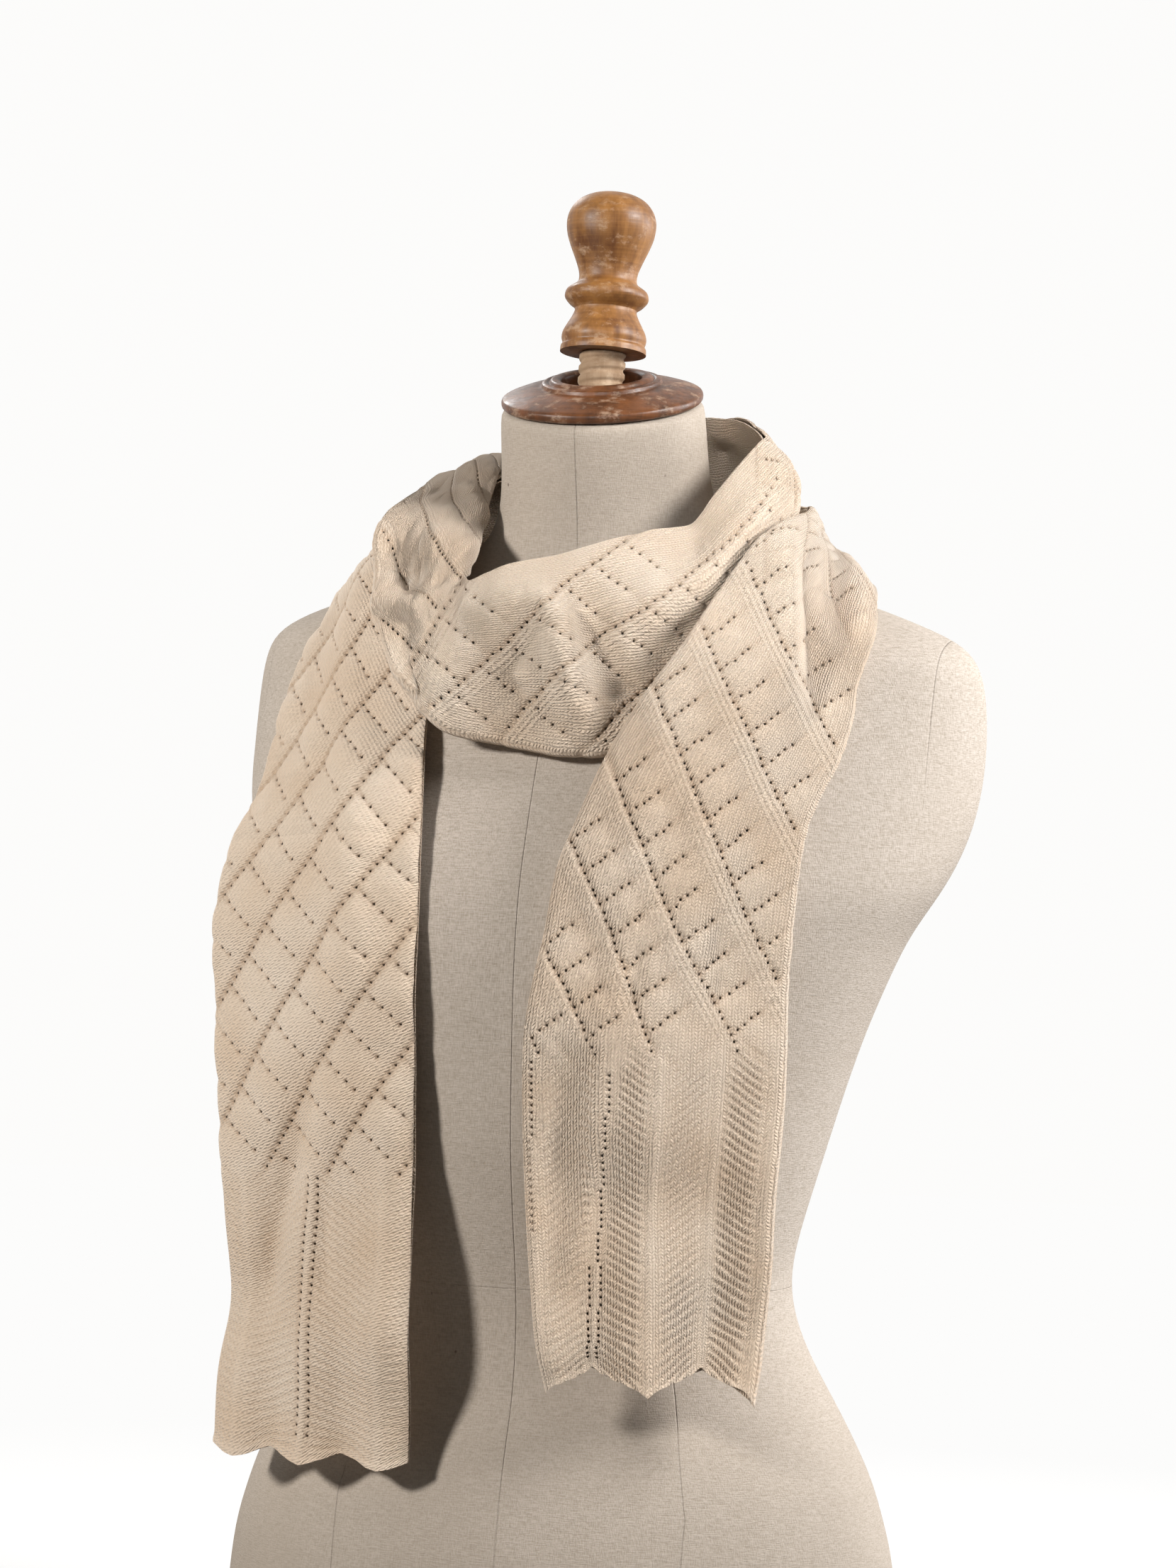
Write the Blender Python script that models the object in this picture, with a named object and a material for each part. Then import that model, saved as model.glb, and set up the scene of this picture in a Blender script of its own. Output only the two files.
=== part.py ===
"""Lace-knit cashmere scarf, wound once round the neck of a linen-covered dress form.

Metres, +Z up. The form faces -Y and stands on the XY plane, with the origin under its middle.
The scarf is one long band, folded in half along its length. Its tables are written in a frame
turned about the vertical, whose x runs across the side that shows and whose y runs away from it.
"""

import math

import bpy
from mathutils import Matrix, Vector
from mathutils.bvhtree import BVHTree

MM = 0.001

# Dress form: driving sizes
FORM_SIDES = 32
FORM_CUP = {"x": 0.084, "z": 0.388, "spread": 0.046, "rise": 0.014}
NECK_TILT = math.radians(16.5)
NECK_TOP = Vector((0.0, 0.0, 0.6455))
NECK_RADIUS = 0.0532
NECK_ROUNDING = 0.002

# Cap and finial: driving sizes
CAP_TILT = NECK_TILT
CAP_SIDES = 26
TOUCH_GAP = 0.0003
FINIAL_TILT = math.radians(-6.0)
FINIAL_BASE = Vector((0.0, -0.003, 0.6715))
FINIAL_SIDES = 20
SCREW_RADIUS = 0.0120
SCREW_THREAD_DEPTH = 0.0011
SCREW_PITCH = 0.0060
SCREW_DEPTH = 0.050
SCREW_LEAD = 0.018
BORE_RADIUS = SCREW_RADIUS + TOUCH_GAP
BORE_DEPTH = 0.060

# Sections of the dress form, bottom to top. Each is a closed oval on a plane that leans forward by
# tilt; half_width is to each side, front and back are measured from the widest line at side_y.
FORM_SECTIONS = [
    # z_mm, half_width, side_y, front, back, tilt_deg
    (0.0, 178.5, 4, 121, 116, 0),
    (30.0, 177.0, 4, 121, 117, 0),
    (60.0, 174.4, 4, 120, 115, 0),
    (80.0, 168.8, 4, 117, 110, 0),
    (100.0, 162.5, 4, 113, 104, 0),
    (120.0, 152.5, 4, 107, 96, 0),
    (140.0, 141.0, 4, 99, 89, 0),
    (160.0, 128.8, 3, 95, 82, 0),
    (180.0, 119.6, 2, 94, 78, 0),
    (200.0, 115.6, 2, 97, 77, 0),
    (220.0, 118.4, 2, 103, 80, 0),
    (245.0, 125.0, 3, 111, 87, 0),
    (270.0, 131.8, 4, 118, 94, 0),
    (300.0, 139.8, 6, 122, 101, 0),
    (330.0, 149.0, 8, 125, 106, 0),
    (360.0, 160.7, 11, 127, 107, 0),
    (380.0, 169.2, 15, 129, 105, 0),
    (400.0, 182.4, 22, 133, 98, 0),
    (420.0, 190.4, 38, 143, 81, 0),
    (440.0, 195.2, 49, 148, 68, 0),
    (460.0, 197.2, 56, 148, 62, 0),
    (480.0, 197.6, 59, 142, 58, 0),
    (500.0, 196.6, 58, 131, 56, 1),
    (516.0, 194.0, 55, 118, 55, 2),
    (528.0, 186.0, 50, 106, 55, 4),
    (538.0, 163.0, 39, 90, 60, 7),
    (547.0, 134.0, 36, 84, 57, 10),
    (555.0, 106.0, 33, 77, 56, 12),
    (564.0, 81.0, 29, 69, 56, 14),
    (576.0, 64.5, 23, 61, 55.5, 16),
    (592.0, 56.0, 16.5, 55, 54.5, 16.5),
    (612.0, 53.6, 10.0, 53.4, 53.4, 16.5),
]

# Turned outline of the cap: radius and height over its underside
CAP_PROFILE = [
    (50.6, 0.0),
    (51.8, 1.2),
    (52.0, 3.4),
    (51.0, 5.0),
    (47.0, 6.6),
    (41.5, 8.4),
    (35.5, 9.8),
    (31.4, 10.4),
    (30.6, 12.2),
    (28.6, 12.9),
    (27.2, 12.3),
    (25.8, 14.0),
    (23.4, 14.3),
    (21.4, 13.4),
    (20.8, 11.6),
    (20.8, 0.0),
]

# Turned outline of the finial's knob: radius and height over its flange's underside
KNOB_PROFILE = [
    (22.2, 0.0),
    (22.0, 2.9),
    (21.2, 4.3),
    (21.9, 7.2),
    (21.3, 10.6),
    (19.4, 14.4),
    (17.0, 18.9),
    (16.0, 22.6),
    (18.8, 24.9),
    (21.3, 27.8),
    (21.6, 30.0),
    (20.6, 32.6),
    (17.4, 34.9),
    (15.4, 36.6),
    (14.9, 39.6),
    (15.6, 43.4),
    (17.6, 48.8),
    (20.3, 55.2),
    (22.3, 61.0),
    (23.1, 66.6),
    (22.7, 71.0),
    (20.9, 75.4),
    (17.2, 79.6),
    (11.6, 82.5),
    (5.6, 83.8),
]

# Scarf: driving sizes
DRAPE_TURN = math.radians(16.0)
LAYER_THICKNESS = 0.0018
LAYER_OFFSET = 0.0017
SCARF_COLUMNS = 12
REST_GAP = 0.0006
SEAM_GAP = 0.0004
SETTLE_REACH = 0.018
SETTLE_PASSES = 5

# Sections across the folded scarf, in millimetres in the drape frame, listed along its length from
# the left hem to the right one. The neck edge is open, the free edge is the fold, and the crown
# stands between them. Each stretch ends at the first row of the next.
LEFT_TAIL = [
    # neck_x, neck_y, neck_z, free_x, free_y, free_z, crown
    (-77, -104, 110, -171, -36, 108, 6),
    (-77.5, -104, 152, -170, -34, 158, 7),
    (-78.5, -104, 215, -170, -33, 215, 8),
    (-80, -104, 290, -176, -32, 285, 8),
    (-81, -104, 345, -181, -31, 342, 8),
    (-81, -102, 385, -183, -30, 376, 8),
    (-81.5, -94, 420, -175, -27, 412, 9),
    (-82, -82, 455, -162, -18, 443, 10),
    (-82, -62, 487, -149, -2, 480, 10),
    (-82, -46, 515, -142, 9, 504, 11),
    (-85, -26, 540, -134, 17, 520, 12),
    (-86, -4, 560, -127, 27, 536, 12),
]
BACK_INNER = [
    (-81, 22, 581, -121, 45, 547, 11),
    (-66, 44, 600, -113, 74, 556, 13),
    (-46, 60, 611, -95, 98, 555, 12),
    (-22, 74, 620, -60, 106, 554, 9),
    (4, 79, 632, -16, 108, 552, 9),
    (30, 73, 641, 32, 98, 550, 8),
    (50, 56, 644, 68, 84, 556, 8),
]
FRONT_LOOP = [
    (64, 36, 644, 91, 57, 562, 8),
    (75, 14, 640, 102, 26, 565, 7),
    (83, -4, 632, 103, -6, 556, 6),
    (80, -20, 627, 102, -38, 540, 7),
    (70, -36, 614, 95, -66, 518, 10),
    (57, -50, 596, 79, -82, 498, 11),
    (47, -58, 582, 58, -92, 480, 12),
    (28, -64, 578, 30, -95, 472, 12),
    (8, -66, 572, 2, -95, 468, 12),
    (-20, -66, 563, -22, -92, 470, 12),
    (-42, -64, 558, -46, -86, 474, 11),
    (-62, -58, 549, -74, -84, 481, 10),
]
LEFT_TURN = [
    (-65, -52, 551, -91, -82, 497, 9),
    (-63, -39, 559, -102, -66, 522, 9),
    (-61, -22, 569, -108, -46, 545, 9),
    (-59, 0, 582, -106, -24, 568, 9),
    (-57, 20, 596, -97, 2, 585, 8),
    (-54, 38, 608, -84, 28, 599, 7),
    (-51, 54, 615, -75, 57, 606, 6),
]
BACK_OUTER = [
    (-46, 73, 620, -76, 86, 601, 7),
    (-32, 91, 620, -69, 112, 574, 8),
    (-8, 101, 614, -38, 122, 542, 8),
    (25, 99, 607, 12, 115, 526, 8),
    (54, 89, 603, 59, 102, 523, 8),
    (82, 73, 602, 99, 83, 529, 8),
]
RIGHT_TAIL = [
    (106, 34, 598, 129, 46, 551, 7),
    (107, 10, 594, 135, 18, 556, 7),
    (103, -18, 588, 135, -6, 556, 7),
    (95, -52, 583, 135, -27, 549, 7),
    (79, -78, 573, 133, -51, 530, 8),
    (61, -92, 548, 127, -74, 501, 8),
    (46, -106, 524, 124, -88, 481, 8),
    (30, -114, 501, 118, -100, 464, 8),
    (18, -118, 482, 111, -108, 450, 8),
    (8, -120, 463, 105, -114, 436, 8),
    (-4, -122, 434, 101, -118, 418, 7),
    (-13, -123, 408, 99.5, -120, 398, 7),
    (-18, -124, 376, 98, -121, 372, 7),
    (-26, -125, 330, 97.5, -122, 336, 7),
    (-26, -125, 290, 97.5, -122, 298, 7),
    (-23, -125, 245, 95.5, -123, 256, 7),
    (-19, -126, 205, 94.5, -123, 214, 7),
    (-15, -126, 176, 92.5, -124, 182, 6),
    (-11, -126, 160, 90.5, -124, 160, 6),
]

# Largest folds. Each runs between two places given as shares of the stretch's length and width; a
# positive rise is a ridge and a negative one a trough.
FOLDS = {
    "scarf_tail_left": [
        # from_along, from_across, to_along, to_across, half_width_mm, rise_mm
        (0.16, 0.80, 0.36, 0.52, 12, -4),
        (0.50, 0.30, 0.78, 0.42, 14, 3),
        (0.74, 0.62, 0.96, 0.55, 12, 4),
    ],
    "scarf_back_inner": [
        (0.30, 0.72, 0.95, 0.66, 12, -3),
    ],
    "scarf_front_loop": [
        (0.16, 0.30, 0.62, 0.36, 14, 4),
        (0.20, 0.64, 0.48, 0.72, 15, -4),
        (0.88, 0.22, 0.74, 0.84, 15, 6),
        (0.58, 0.50, 0.64, 0.72, 16, -5),
    ],
    "scarf_left_turn": [
        (0.20, 0.62, 0.30, 0.84, 10, -6),
        (0.40, 0.25, 0.46, 0.75, 11, 4),
        (0.61, 0.10, 0.68, 0.66, 10, -4),
    ],
    "scarf_back_outer": [
        (0.05, 0.30, 0.70, 0.36, 12, 4),
        (0.20, 0.64, 0.95, 0.60, 12, -4),
    ],
    "scarf_tail_right": [
        (0.00, 0.40, 0.20, 0.68, 14, -7),
        (0.30, 0.40, 0.52, 0.62, 15, 3),
        (0.58, 0.22, 0.80, 0.20, 14, -3),
    ],
}

# Each stretch in order along the scarf, with its sections and the distance between its rings. A
# stretch lies on the form and on every earlier one but the one it carries on from.
STRETCHES = {
    "scarf_tail_left": (LEFT_TAIL, 0.024),
    "scarf_back_inner": (BACK_INNER, 0.017),
    "scarf_front_loop": (FRONT_LOOP, 0.016),
    "scarf_left_turn": (LEFT_TURN, 0.014),
    "scarf_back_outer": (BACK_OUTER, 0.019),
    "scarf_tail_right": (RIGHT_TAIL, 0.021),
}

# Scalloped hems, left and right: columns from a point to the next, the first point's column, depth
# of the scallops, and the height over which the cloth ripples with them
HEMS = {
    "left": {"period": 4.5, "first": 1.5, "depth": 0.0075, "ripple": 0.0020, "zone": 0.150},
    "right": {"period": 6.0, "first": 0.0, "depth": 0.0150, "ripple": 0.0026, "zone": 0.165},
}


def clear_scene():
    for item in list(bpy.data.objects):
        bpy.data.objects.remove(item, do_unlink=True)


def make_material(name, colour, roughness):
    material = bpy.data.materials.new(name)
    material.use_nodes = True
    shader = material.node_tree.nodes["Principled BSDF"]
    shader.inputs["Base Color"].default_value = (*colour, 1.0)
    shader.inputs["Roughness"].default_value = roughness
    shader.inputs["Metallic"].default_value = 0.0
    return material


def add_object(name, points, faces, colour, roughness):
    mesh = bpy.data.meshes.new(name)
    mesh.from_pydata([tuple(point) for point in points], [], faces)
    mesh.validate()
    mesh.update()
    mesh.shade_smooth()
    mesh.set_sharp_from_angle(angle=math.radians(40))
    mesh.materials.append(make_material(name, colour, roughness))
    item = bpy.data.objects.new(name, mesh)
    bpy.context.scene.collection.objects.link(item)
    return item


def stitch_rings(rings, closed_ends=True):
    """Join rings of equal length, listed anticlockwise as seen from the last one, into a skin."""
    count = len(rings[0])
    points = [point for ring in rings for point in ring]
    faces = []
    for level in range(len(rings) - 1):
        low = level * count
        high = low + count
        for step in range(count):
            after = (step + 1) % count
            faces.append((low + step, low + after, high + after, high + step))
    if closed_ends:
        faces.append(tuple(range(count - 1, -1, -1)))
        top = (len(rings) - 1) * count
        faces.append(tuple(range(top, top + count)))
    return points, faces


def leaning(tilt):
    """Turn about X; a positive tilt lowers the front."""
    return Matrix.Rotation(tilt, 3, "X")


def form_ring(z, half_width, side_y, front, back, tilt):
    centre = Vector((0.0, side_y, z))
    turn = leaning(tilt)
    ring = []
    for step in range(FORM_SIDES):
        angle = 2.0 * math.pi * (step + 0.5) / FORM_SIDES
        across = half_width * math.cos(angle)
        depth = math.sin(angle)
        depth *= back if depth > 0.0 else front
        point = centre + turn @ Vector((across, depth, 0.0))
        if depth < 0.0:
            gap = (abs(point.x) - FORM_CUP["x"]) ** 2 + (point.z - FORM_CUP["z"]) ** 2
            swell = math.exp(-gap / (2.0 * FORM_CUP["spread"] ** 2))
            point.y -= FORM_CUP["rise"] * swell * min(1.0, -depth / 0.04)
        ring.append(point)
    return ring


def round_ring(centre, turn, radius, height, sides):
    ring = []
    for step in range(sides):
        angle = 2.0 * math.pi * (step + 0.5) / sides
        spoke = Vector((radius * math.cos(angle), radius * math.sin(angle), height))
        ring.append(centre + turn @ spoke)
    return ring


def build_form():
    rings = []
    for z, half_width, side_y, front, back, tilt in FORM_SECTIONS:
        rings.append(form_ring(z * MM, half_width * MM, side_y * MM, front * MM, back * MM,
                               math.radians(tilt)))
    neck_turn = leaning(NECK_TILT)
    rings.append(round_ring(NECK_TOP, neck_turn, NECK_RADIUS, -NECK_ROUNDING, FORM_SIDES))
    rings.append(round_ring(NECK_TOP, neck_turn, NECK_RADIUS - NECK_ROUNDING, 0.0, FORM_SIDES))
    finial_turn = leaning(FINIAL_TILT)
    normal = neck_turn @ Vector((0.0, 0.0, 1.0))
    axis = finial_turn @ Vector((0.0, 0.0, 1.0))
    mouth = []
    for point in round_ring(FINIAL_BASE, finial_turn, BORE_RADIUS, 0.0, FORM_SIDES):
        fall = (point - NECK_TOP).dot(normal) / axis.dot(normal)
        mouth.append(point - axis * fall)
    rings.append(mouth)
    rings.append(round_ring(FINIAL_BASE, finial_turn, BORE_RADIUS, -BORE_DEPTH, FORM_SIDES))
    points, faces = stitch_rings(rings)
    return add_object("torso", points, faces, (0.56, 0.51, 0.42), 0.85)


def build_cap():
    turn = leaning(CAP_TILT)
    base = NECK_TOP + turn @ Vector((0.0, 0.0, TOUCH_GAP))
    rings = []
    for radius, height in CAP_PROFILE:
        rings.append(round_ring(base, turn, radius * MM, height * MM, CAP_SIDES))
    rings.append(rings[0])
    points, faces = stitch_rings(rings, closed_ends=False)
    ring_count = len(rings) - 1
    last = ring_count * CAP_SIDES
    faces = [tuple(index % last for index in face) for face in faces]
    return add_object("neck_cap", points[:last], faces, (0.17, 0.075, 0.03), 0.4)


def build_screw():
    """Screw with a plain lower end; its thread is a row of equal grooves."""
    turn = leaning(FINIAL_TILT)
    root = SCREW_RADIUS - SCREW_THREAD_DEPTH
    outline = [(root, -SCREW_DEPTH)]
    height = SCREW_LEAD - SCREW_DEPTH
    while height < -SCREW_PITCH:
        outline.append((root, height))
        outline.append((SCREW_RADIUS, height + 0.25 * SCREW_PITCH))
        outline.append((SCREW_RADIUS, height + 0.75 * SCREW_PITCH))
        height += SCREW_PITCH
    outline.append((root, height))
    outline.append((root, -TOUCH_GAP))
    rings = [round_ring(FINIAL_BASE, turn, radius, up, FINIAL_SIDES) for radius, up in outline]
    points, faces = stitch_rings(rings)
    return add_object("finial_screw", points, faces, (0.60, 0.42, 0.24), 0.7)


def build_knob():
    turn = leaning(FINIAL_TILT)
    rings = []
    for radius, height in KNOB_PROFILE:
        rings.append(round_ring(FINIAL_BASE, turn, radius * MM, height * MM, FINIAL_SIDES))
    points, faces = stitch_rings(rings)
    return add_object("finial_knob", points, faces, (0.42, 0.21, 0.075), 0.35)


def from_drape(point):
    """Drape frame to the form's frame."""
    return Matrix.Rotation(DRAPE_TURN, 3, "Z") @ Vector(point)


def smooth_row(rows, place):
    """Row at a fractional place in a table, on a smooth curve through its rows."""
    index = min(int(place), len(rows) - 2)
    share = place - index
    before = rows[max(index - 1, 0)]
    here = rows[index]
    there = rows[index + 1]
    after = rows[min(index + 2, len(rows) - 1)]
    mixed = []
    for a, b, c, d in zip(before, here, there, after):
        slope_b = 0.5 * (c - a)
        slope_c = 0.5 * (d - b)
        curve = (2.0 * b - 2.0 * c + slope_b + slope_c) * share ** 3
        curve += (3.0 * c - 3.0 * b - 2.0 * slope_b - slope_c) * share ** 2
        mixed.append(curve + slope_b * share + b)
    return mixed


def row_places(rows, first, last, spacing):
    """Places from one row to another, about one spacing apart and including each row."""
    places = [float(first)]
    for index in range(first, last):
        middle_a = (Vector(rows[index][0:3]) + Vector(rows[index][3:6])) * 0.5
        middle_b = (Vector(rows[index + 1][0:3]) + Vector(rows[index + 1][3:6])) * 0.5
        steps = max(1, round((middle_b - middle_a).length * MM / spacing))
        places += [index + (step + 1) / steps for step in range(steps)]
    return places


def fold_rise(folds, place, length, width):
    """Height that a stretch's folds add at a place, given in metres along and across it."""
    total = 0.0
    for from_along, from_across, to_along, to_across, half_width, rise in folds:
        start = Vector((from_along * length, from_across * width))
        run = Vector((to_along * length, to_across * width)) - start
        share = min(max((place - start).dot(run) / run.length_squared, 0.0), 1.0)
        gap = (place - start - run * share).length / (half_width * MM)
        total += rise * MM * math.exp(-gap * gap)
    return total


def hem_wave(hem, column):
    """One at a scalloped hem's points and minus one between them."""
    return math.cos(2.0 * math.pi * (column - hem["first"]) / hem["period"])


def hem_ripple(hem, column, distance):
    """Soft waves above a scalloped hem, in step with its points."""
    if distance > hem["zone"]:
        return 0.0
    return hem["ripple"] * hem_wave(hem, column) * (1.0 - distance / hem["zone"]) ** 0.7


def scarf_sections():
    """Neck edge, free edge and crown of every ring, and each stretch's first and last ring."""
    rows = []
    starts = []
    for table, _ in STRETCHES.values():
        starts.append(len(rows))
        rows += table
    starts.append(len(rows) - 1)
    sections = []
    spans = {}
    for index, (name, (_, spacing)) in enumerate(STRETCHES.items()):
        places = row_places(rows, starts[index], starts[index + 1], spacing)
        if sections:
            places.pop(0)
        first = max(len(sections) - 1, 0)
        for place in places:
            row = smooth_row(rows, place)
            neck_edge = from_drape(Vector(row[0:3]) * MM)
            free_edge = from_drape(Vector(row[3:6]) * MM)
            sections.append((neck_edge, free_edge, row[6] * MM))
        spans[name] = (first, len(sections) - 1)
    return sections, spans


def scarf_grid(sections, spans):
    """Middle surface of the folded scarf, as rings of points across it, before it settles."""
    middles = [(neck + free) * 0.5 for neck, free, _ in sections]
    lengths = [0.0]
    for a, b in zip(middles, middles[1:]):
        lengths.append(lengths[-1] + (b - a).length)
    last = len(sections) - 1
    grid = []
    for ring, (neck, free, crown) in enumerate(sections):
        along = middles[min(ring + 1, last)] - middles[max(ring - 1, 0)]
        out = along.cross(free - neck).normalized()
        width = (free - neck).length
        line = []
        for column in range(SCARF_COLUMNS + 1):
            across = column / SCARF_COLUMNS
            rise = crown * 4.0 * across * (1.0 - across)
            rise += hem_ripple(HEMS["left"], column, lengths[ring])
            rise += hem_ripple(HEMS["right"], column, lengths[-1] - lengths[ring])
            for name, (start, end) in spans.items():
                place = Vector((lengths[ring] - lengths[start], across * width))
                rise += fold_rise(FOLDS[name], place, lengths[end] - lengths[start], width)
            line.append(neck.lerp(free, across) + out * rise)
        grid.append(line)
    for hem, end, inner in ((HEMS["left"], 0, 1), (HEMS["right"], last, last - 1)):
        for column in range(SCARF_COLUMNS + 1):
            outward = (grid[end][column] - grid[inner][column]).normalized()
            grid[end][column] += outward * 0.5 * hem["depth"] * hem_wave(hem, column)
    return grid


def grid_normals(grid):
    normals = []
    last = len(grid) - 1
    for ring, line in enumerate(grid):
        normals.append([])
        for column in range(len(line)):
            along = grid[min(ring + 1, last)][column] - grid[max(ring - 1, 0)][column]
            across = line[min(column + 1, len(line) - 1)] - line[max(column - 1, 0)]
            normals[ring].append(along.cross(across).normalized())
    return normals


def move_off_form(form, point, clear):
    """Shortest move that takes a point clear of the form."""
    place, face_normal, _, distance = form.find_nearest(point)
    side = 1.0 if (point - place).dot(face_normal) > 0.0 else -1.0
    if side * distance >= clear:
        return Vector()
    return (point - place).normalized() * side * (clear - side * distance)


def move_off_cloth(cloth, point, normal, clear):
    """Move along the sheet's normal that takes a point clear of cloth under it."""
    place, face_normal, _, _ = cloth.ray_cast(point + normal * SETTLE_REACH, -normal,
                                              SETTLE_REACH + clear)
    move = 0.0
    if place is not None and face_normal.dot(normal) > 0.0:
        move = max((place - point).dot(normal) + clear, 0.0)
    place, _, _, distance = cloth.find_nearest(point + normal * move, clear)
    if place is not None:
        side = (point + normal * move - place).dot(normal)
        move += math.sqrt(side * side + clear * clear - distance * distance) - side
    return normal * move


def longest(moves):
    return max(moves, key=lambda move: move.length_squared)


def settle(grid, first, last, fixed, form, cloths):
    """Move rings clear of what they lie on, spreading each move to the places around it."""
    clear = LAYER_OFFSET + 0.5 * LAYER_THICKNESS + REST_GAP
    normals = grid_normals(grid)
    moves = {(ring, column): Vector() for ring in range(first, last + 1)
             for column in range(SCARF_COLUMNS + 1)}
    for ring, column in list(moves):
        for down, right in ((0, 0), (0, 1), (1, 0), (1, 1)):
            corners = {(ring, column), (ring + down, column), (ring, column + right),
                       (ring + down, column + right)}
            if not corners <= moves.keys():
                continue
            point = sum((grid[r][c] for r, c in corners), Vector()) / len(corners)
            normal = sum((normals[r][c] for r, c in corners), Vector()).normalized()
            move = move_off_form(form, point, clear)
            for cloth in cloths:
                move += move_off_cloth(cloth, point + move, normal, clear)
            for corner in corners:
                moves[corner] = longest([moves[corner], move])
    widest = {}
    for ring, column in moves:
        widest[ring, column] = longest([moves[r, c] for r in (ring - 1, ring, ring + 1)
                                        for c in (column - 1, column, column + 1)
                                        if (r, c) in moves])
    for ring, column in moves:
        if ring > fixed:
            near = [widest[r, c] for r in (ring - 1, ring, ring + 1)
                    for c in (column - 1, column, column + 1) if (r, c) in moves]
            grid[ring][column] += sum(near, Vector()) / len(near)


def wall_section(line, normals):
    """Outer and inner outlines of the folded cloth across one ring."""
    outline = []
    for reach in (LAYER_OFFSET + 0.5 * LAYER_THICKNESS, LAYER_OFFSET - 0.5 * LAYER_THICKNESS):
        path = [point + normal * reach for point, normal in zip(line, normals)]
        outward = (line[-1] - line[-2]).normalized()
        for angle in (45.0, 90.0, 135.0):
            turn = math.radians(angle)
            bend = normals[-1] * math.cos(turn) + outward * math.sin(turn)
            path.append(line[-1] + bend * reach)
        back = [point - normal * reach for point, normal in zip(line, normals)]
        outline.append(path + back[::-1])
    return outline


def trimmed_ring(grid, ring, trim):
    """A ring moved along the cloth, so that neighbouring stretches stay apart at their seam."""
    if trim == 0.0:
        return grid[ring]
    return [point + (after - before).normalized() * trim
            for before, point, after in zip(grid[ring - 1], grid[ring], grid[ring + 1])]


def folded_wall(grid, first, last):
    """Points and faces of one stretch of cloth, folded double round its free edge."""
    lines = grid[first:last + 1]
    lines[0] = trimmed_ring(grid, first, 0.5 * SEAM_GAP if first > 0 else 0.0)
    lines[-1] = trimmed_ring(grid, last, -0.5 * SEAM_GAP if last < len(grid) - 1 else 0.0)
    normals = grid_normals(grid)[first:last + 1]
    last = len(lines) - 1
    points = []
    for line, line_normals in zip(lines, normals):
        outer_path, inner_path = wall_section(line, line_normals)
        points += outer_path + inner_path
    steps = len(points) // len(lines) // 2
    faces = []
    for ring in range(last):
        low = ring * 2 * steps
        high = low + 2 * steps
        for step in range(steps - 1):
            faces.append((low + step, high + step, high + step + 1, low + step + 1))
            a = low + steps + step
            b = high + steps + step
            faces.append((a, a + 1, b + 1, b))
        faces.append((low, low + steps, high + steps, high))
        edge = steps - 1
        faces.append((low + edge, high + edge, high + steps + edge, low + steps + edge))
    top = last * 2 * steps
    for step in range(steps - 1):
        faces.append((step, step + 1, steps + step + 1, steps + step))
        faces.append((top + step, top + steps + step, top + steps + step + 1, top + step + 1))
    return points, faces


def build_scarf(torso):
    sections, spans = scarf_sections()
    grid = scarf_grid(sections, spans)
    final = len(grid) - 1
    form = BVHTree.FromObject(torso, bpy.context.evaluated_depsgraph_get())
    cloths = []
    for first, last in spans.values():
        for _ in range(SETTLE_PASSES):
            settle(grid, max(first - 1, 0), min(last + 1, final), first if first > 0 else -1,
                   form, cloths[:-1])
        cloths.append(BVHTree.FromPolygons(*folded_wall(grid, first, last)))
    for name, (first, last) in spans.items():
        points, faces = folded_wall(grid, first, last)
        add_object(name, points, faces, (0.78, 0.66, 0.50), 0.9)


def main():
    clear_scene()
    torso = build_form()
    build_cap()
    build_screw()
    build_knob()
    build_scarf(torso)


main()
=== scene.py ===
"""Looks of a lace-knit cashmere scarf, wound once round the neck of a linen-covered dress form.

Metres, +Z up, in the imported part's frame. The scarf is one long band, folded in half along its
length. It is laid out again from its sections, two columns of faces to a stitch, and each stretch
of it takes the place of its solid.
"""

import math
from collections import namedtuple

import bpy
import numpy as np
from mathutils import Matrix, Vector
from mathutils.bvhtree import BVHTree

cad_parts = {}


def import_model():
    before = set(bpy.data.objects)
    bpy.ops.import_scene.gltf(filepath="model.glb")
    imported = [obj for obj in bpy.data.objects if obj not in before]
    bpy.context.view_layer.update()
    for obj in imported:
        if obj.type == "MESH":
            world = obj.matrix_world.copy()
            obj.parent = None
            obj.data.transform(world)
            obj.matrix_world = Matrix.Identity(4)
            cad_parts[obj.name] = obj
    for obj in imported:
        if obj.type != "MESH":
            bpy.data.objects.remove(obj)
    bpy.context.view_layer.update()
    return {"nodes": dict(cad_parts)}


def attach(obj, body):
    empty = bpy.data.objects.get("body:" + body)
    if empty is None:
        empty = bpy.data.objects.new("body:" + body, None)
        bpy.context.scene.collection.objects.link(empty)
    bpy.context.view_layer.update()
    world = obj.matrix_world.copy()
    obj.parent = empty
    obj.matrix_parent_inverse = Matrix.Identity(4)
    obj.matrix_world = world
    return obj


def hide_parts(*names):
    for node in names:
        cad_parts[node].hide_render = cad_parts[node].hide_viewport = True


MM = 0.001
TURN = 2.0 * math.pi
FAR = 1e9
WHITE_PAPER = (1.0, 0.995, 0.985, 1.0)

# Photograph: its viewing angle, roll, scale and frame
VIEW_TURN = math.radians(16.0)
VIEW_ROLL = math.radians(2.2)
VIEW_DISTANCE = 2.5
VIEW_HEIGHT = 0.45
VIEW_SCALE = 0.365e-3
VIEW_PIXELS = (1659, 2212)

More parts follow.
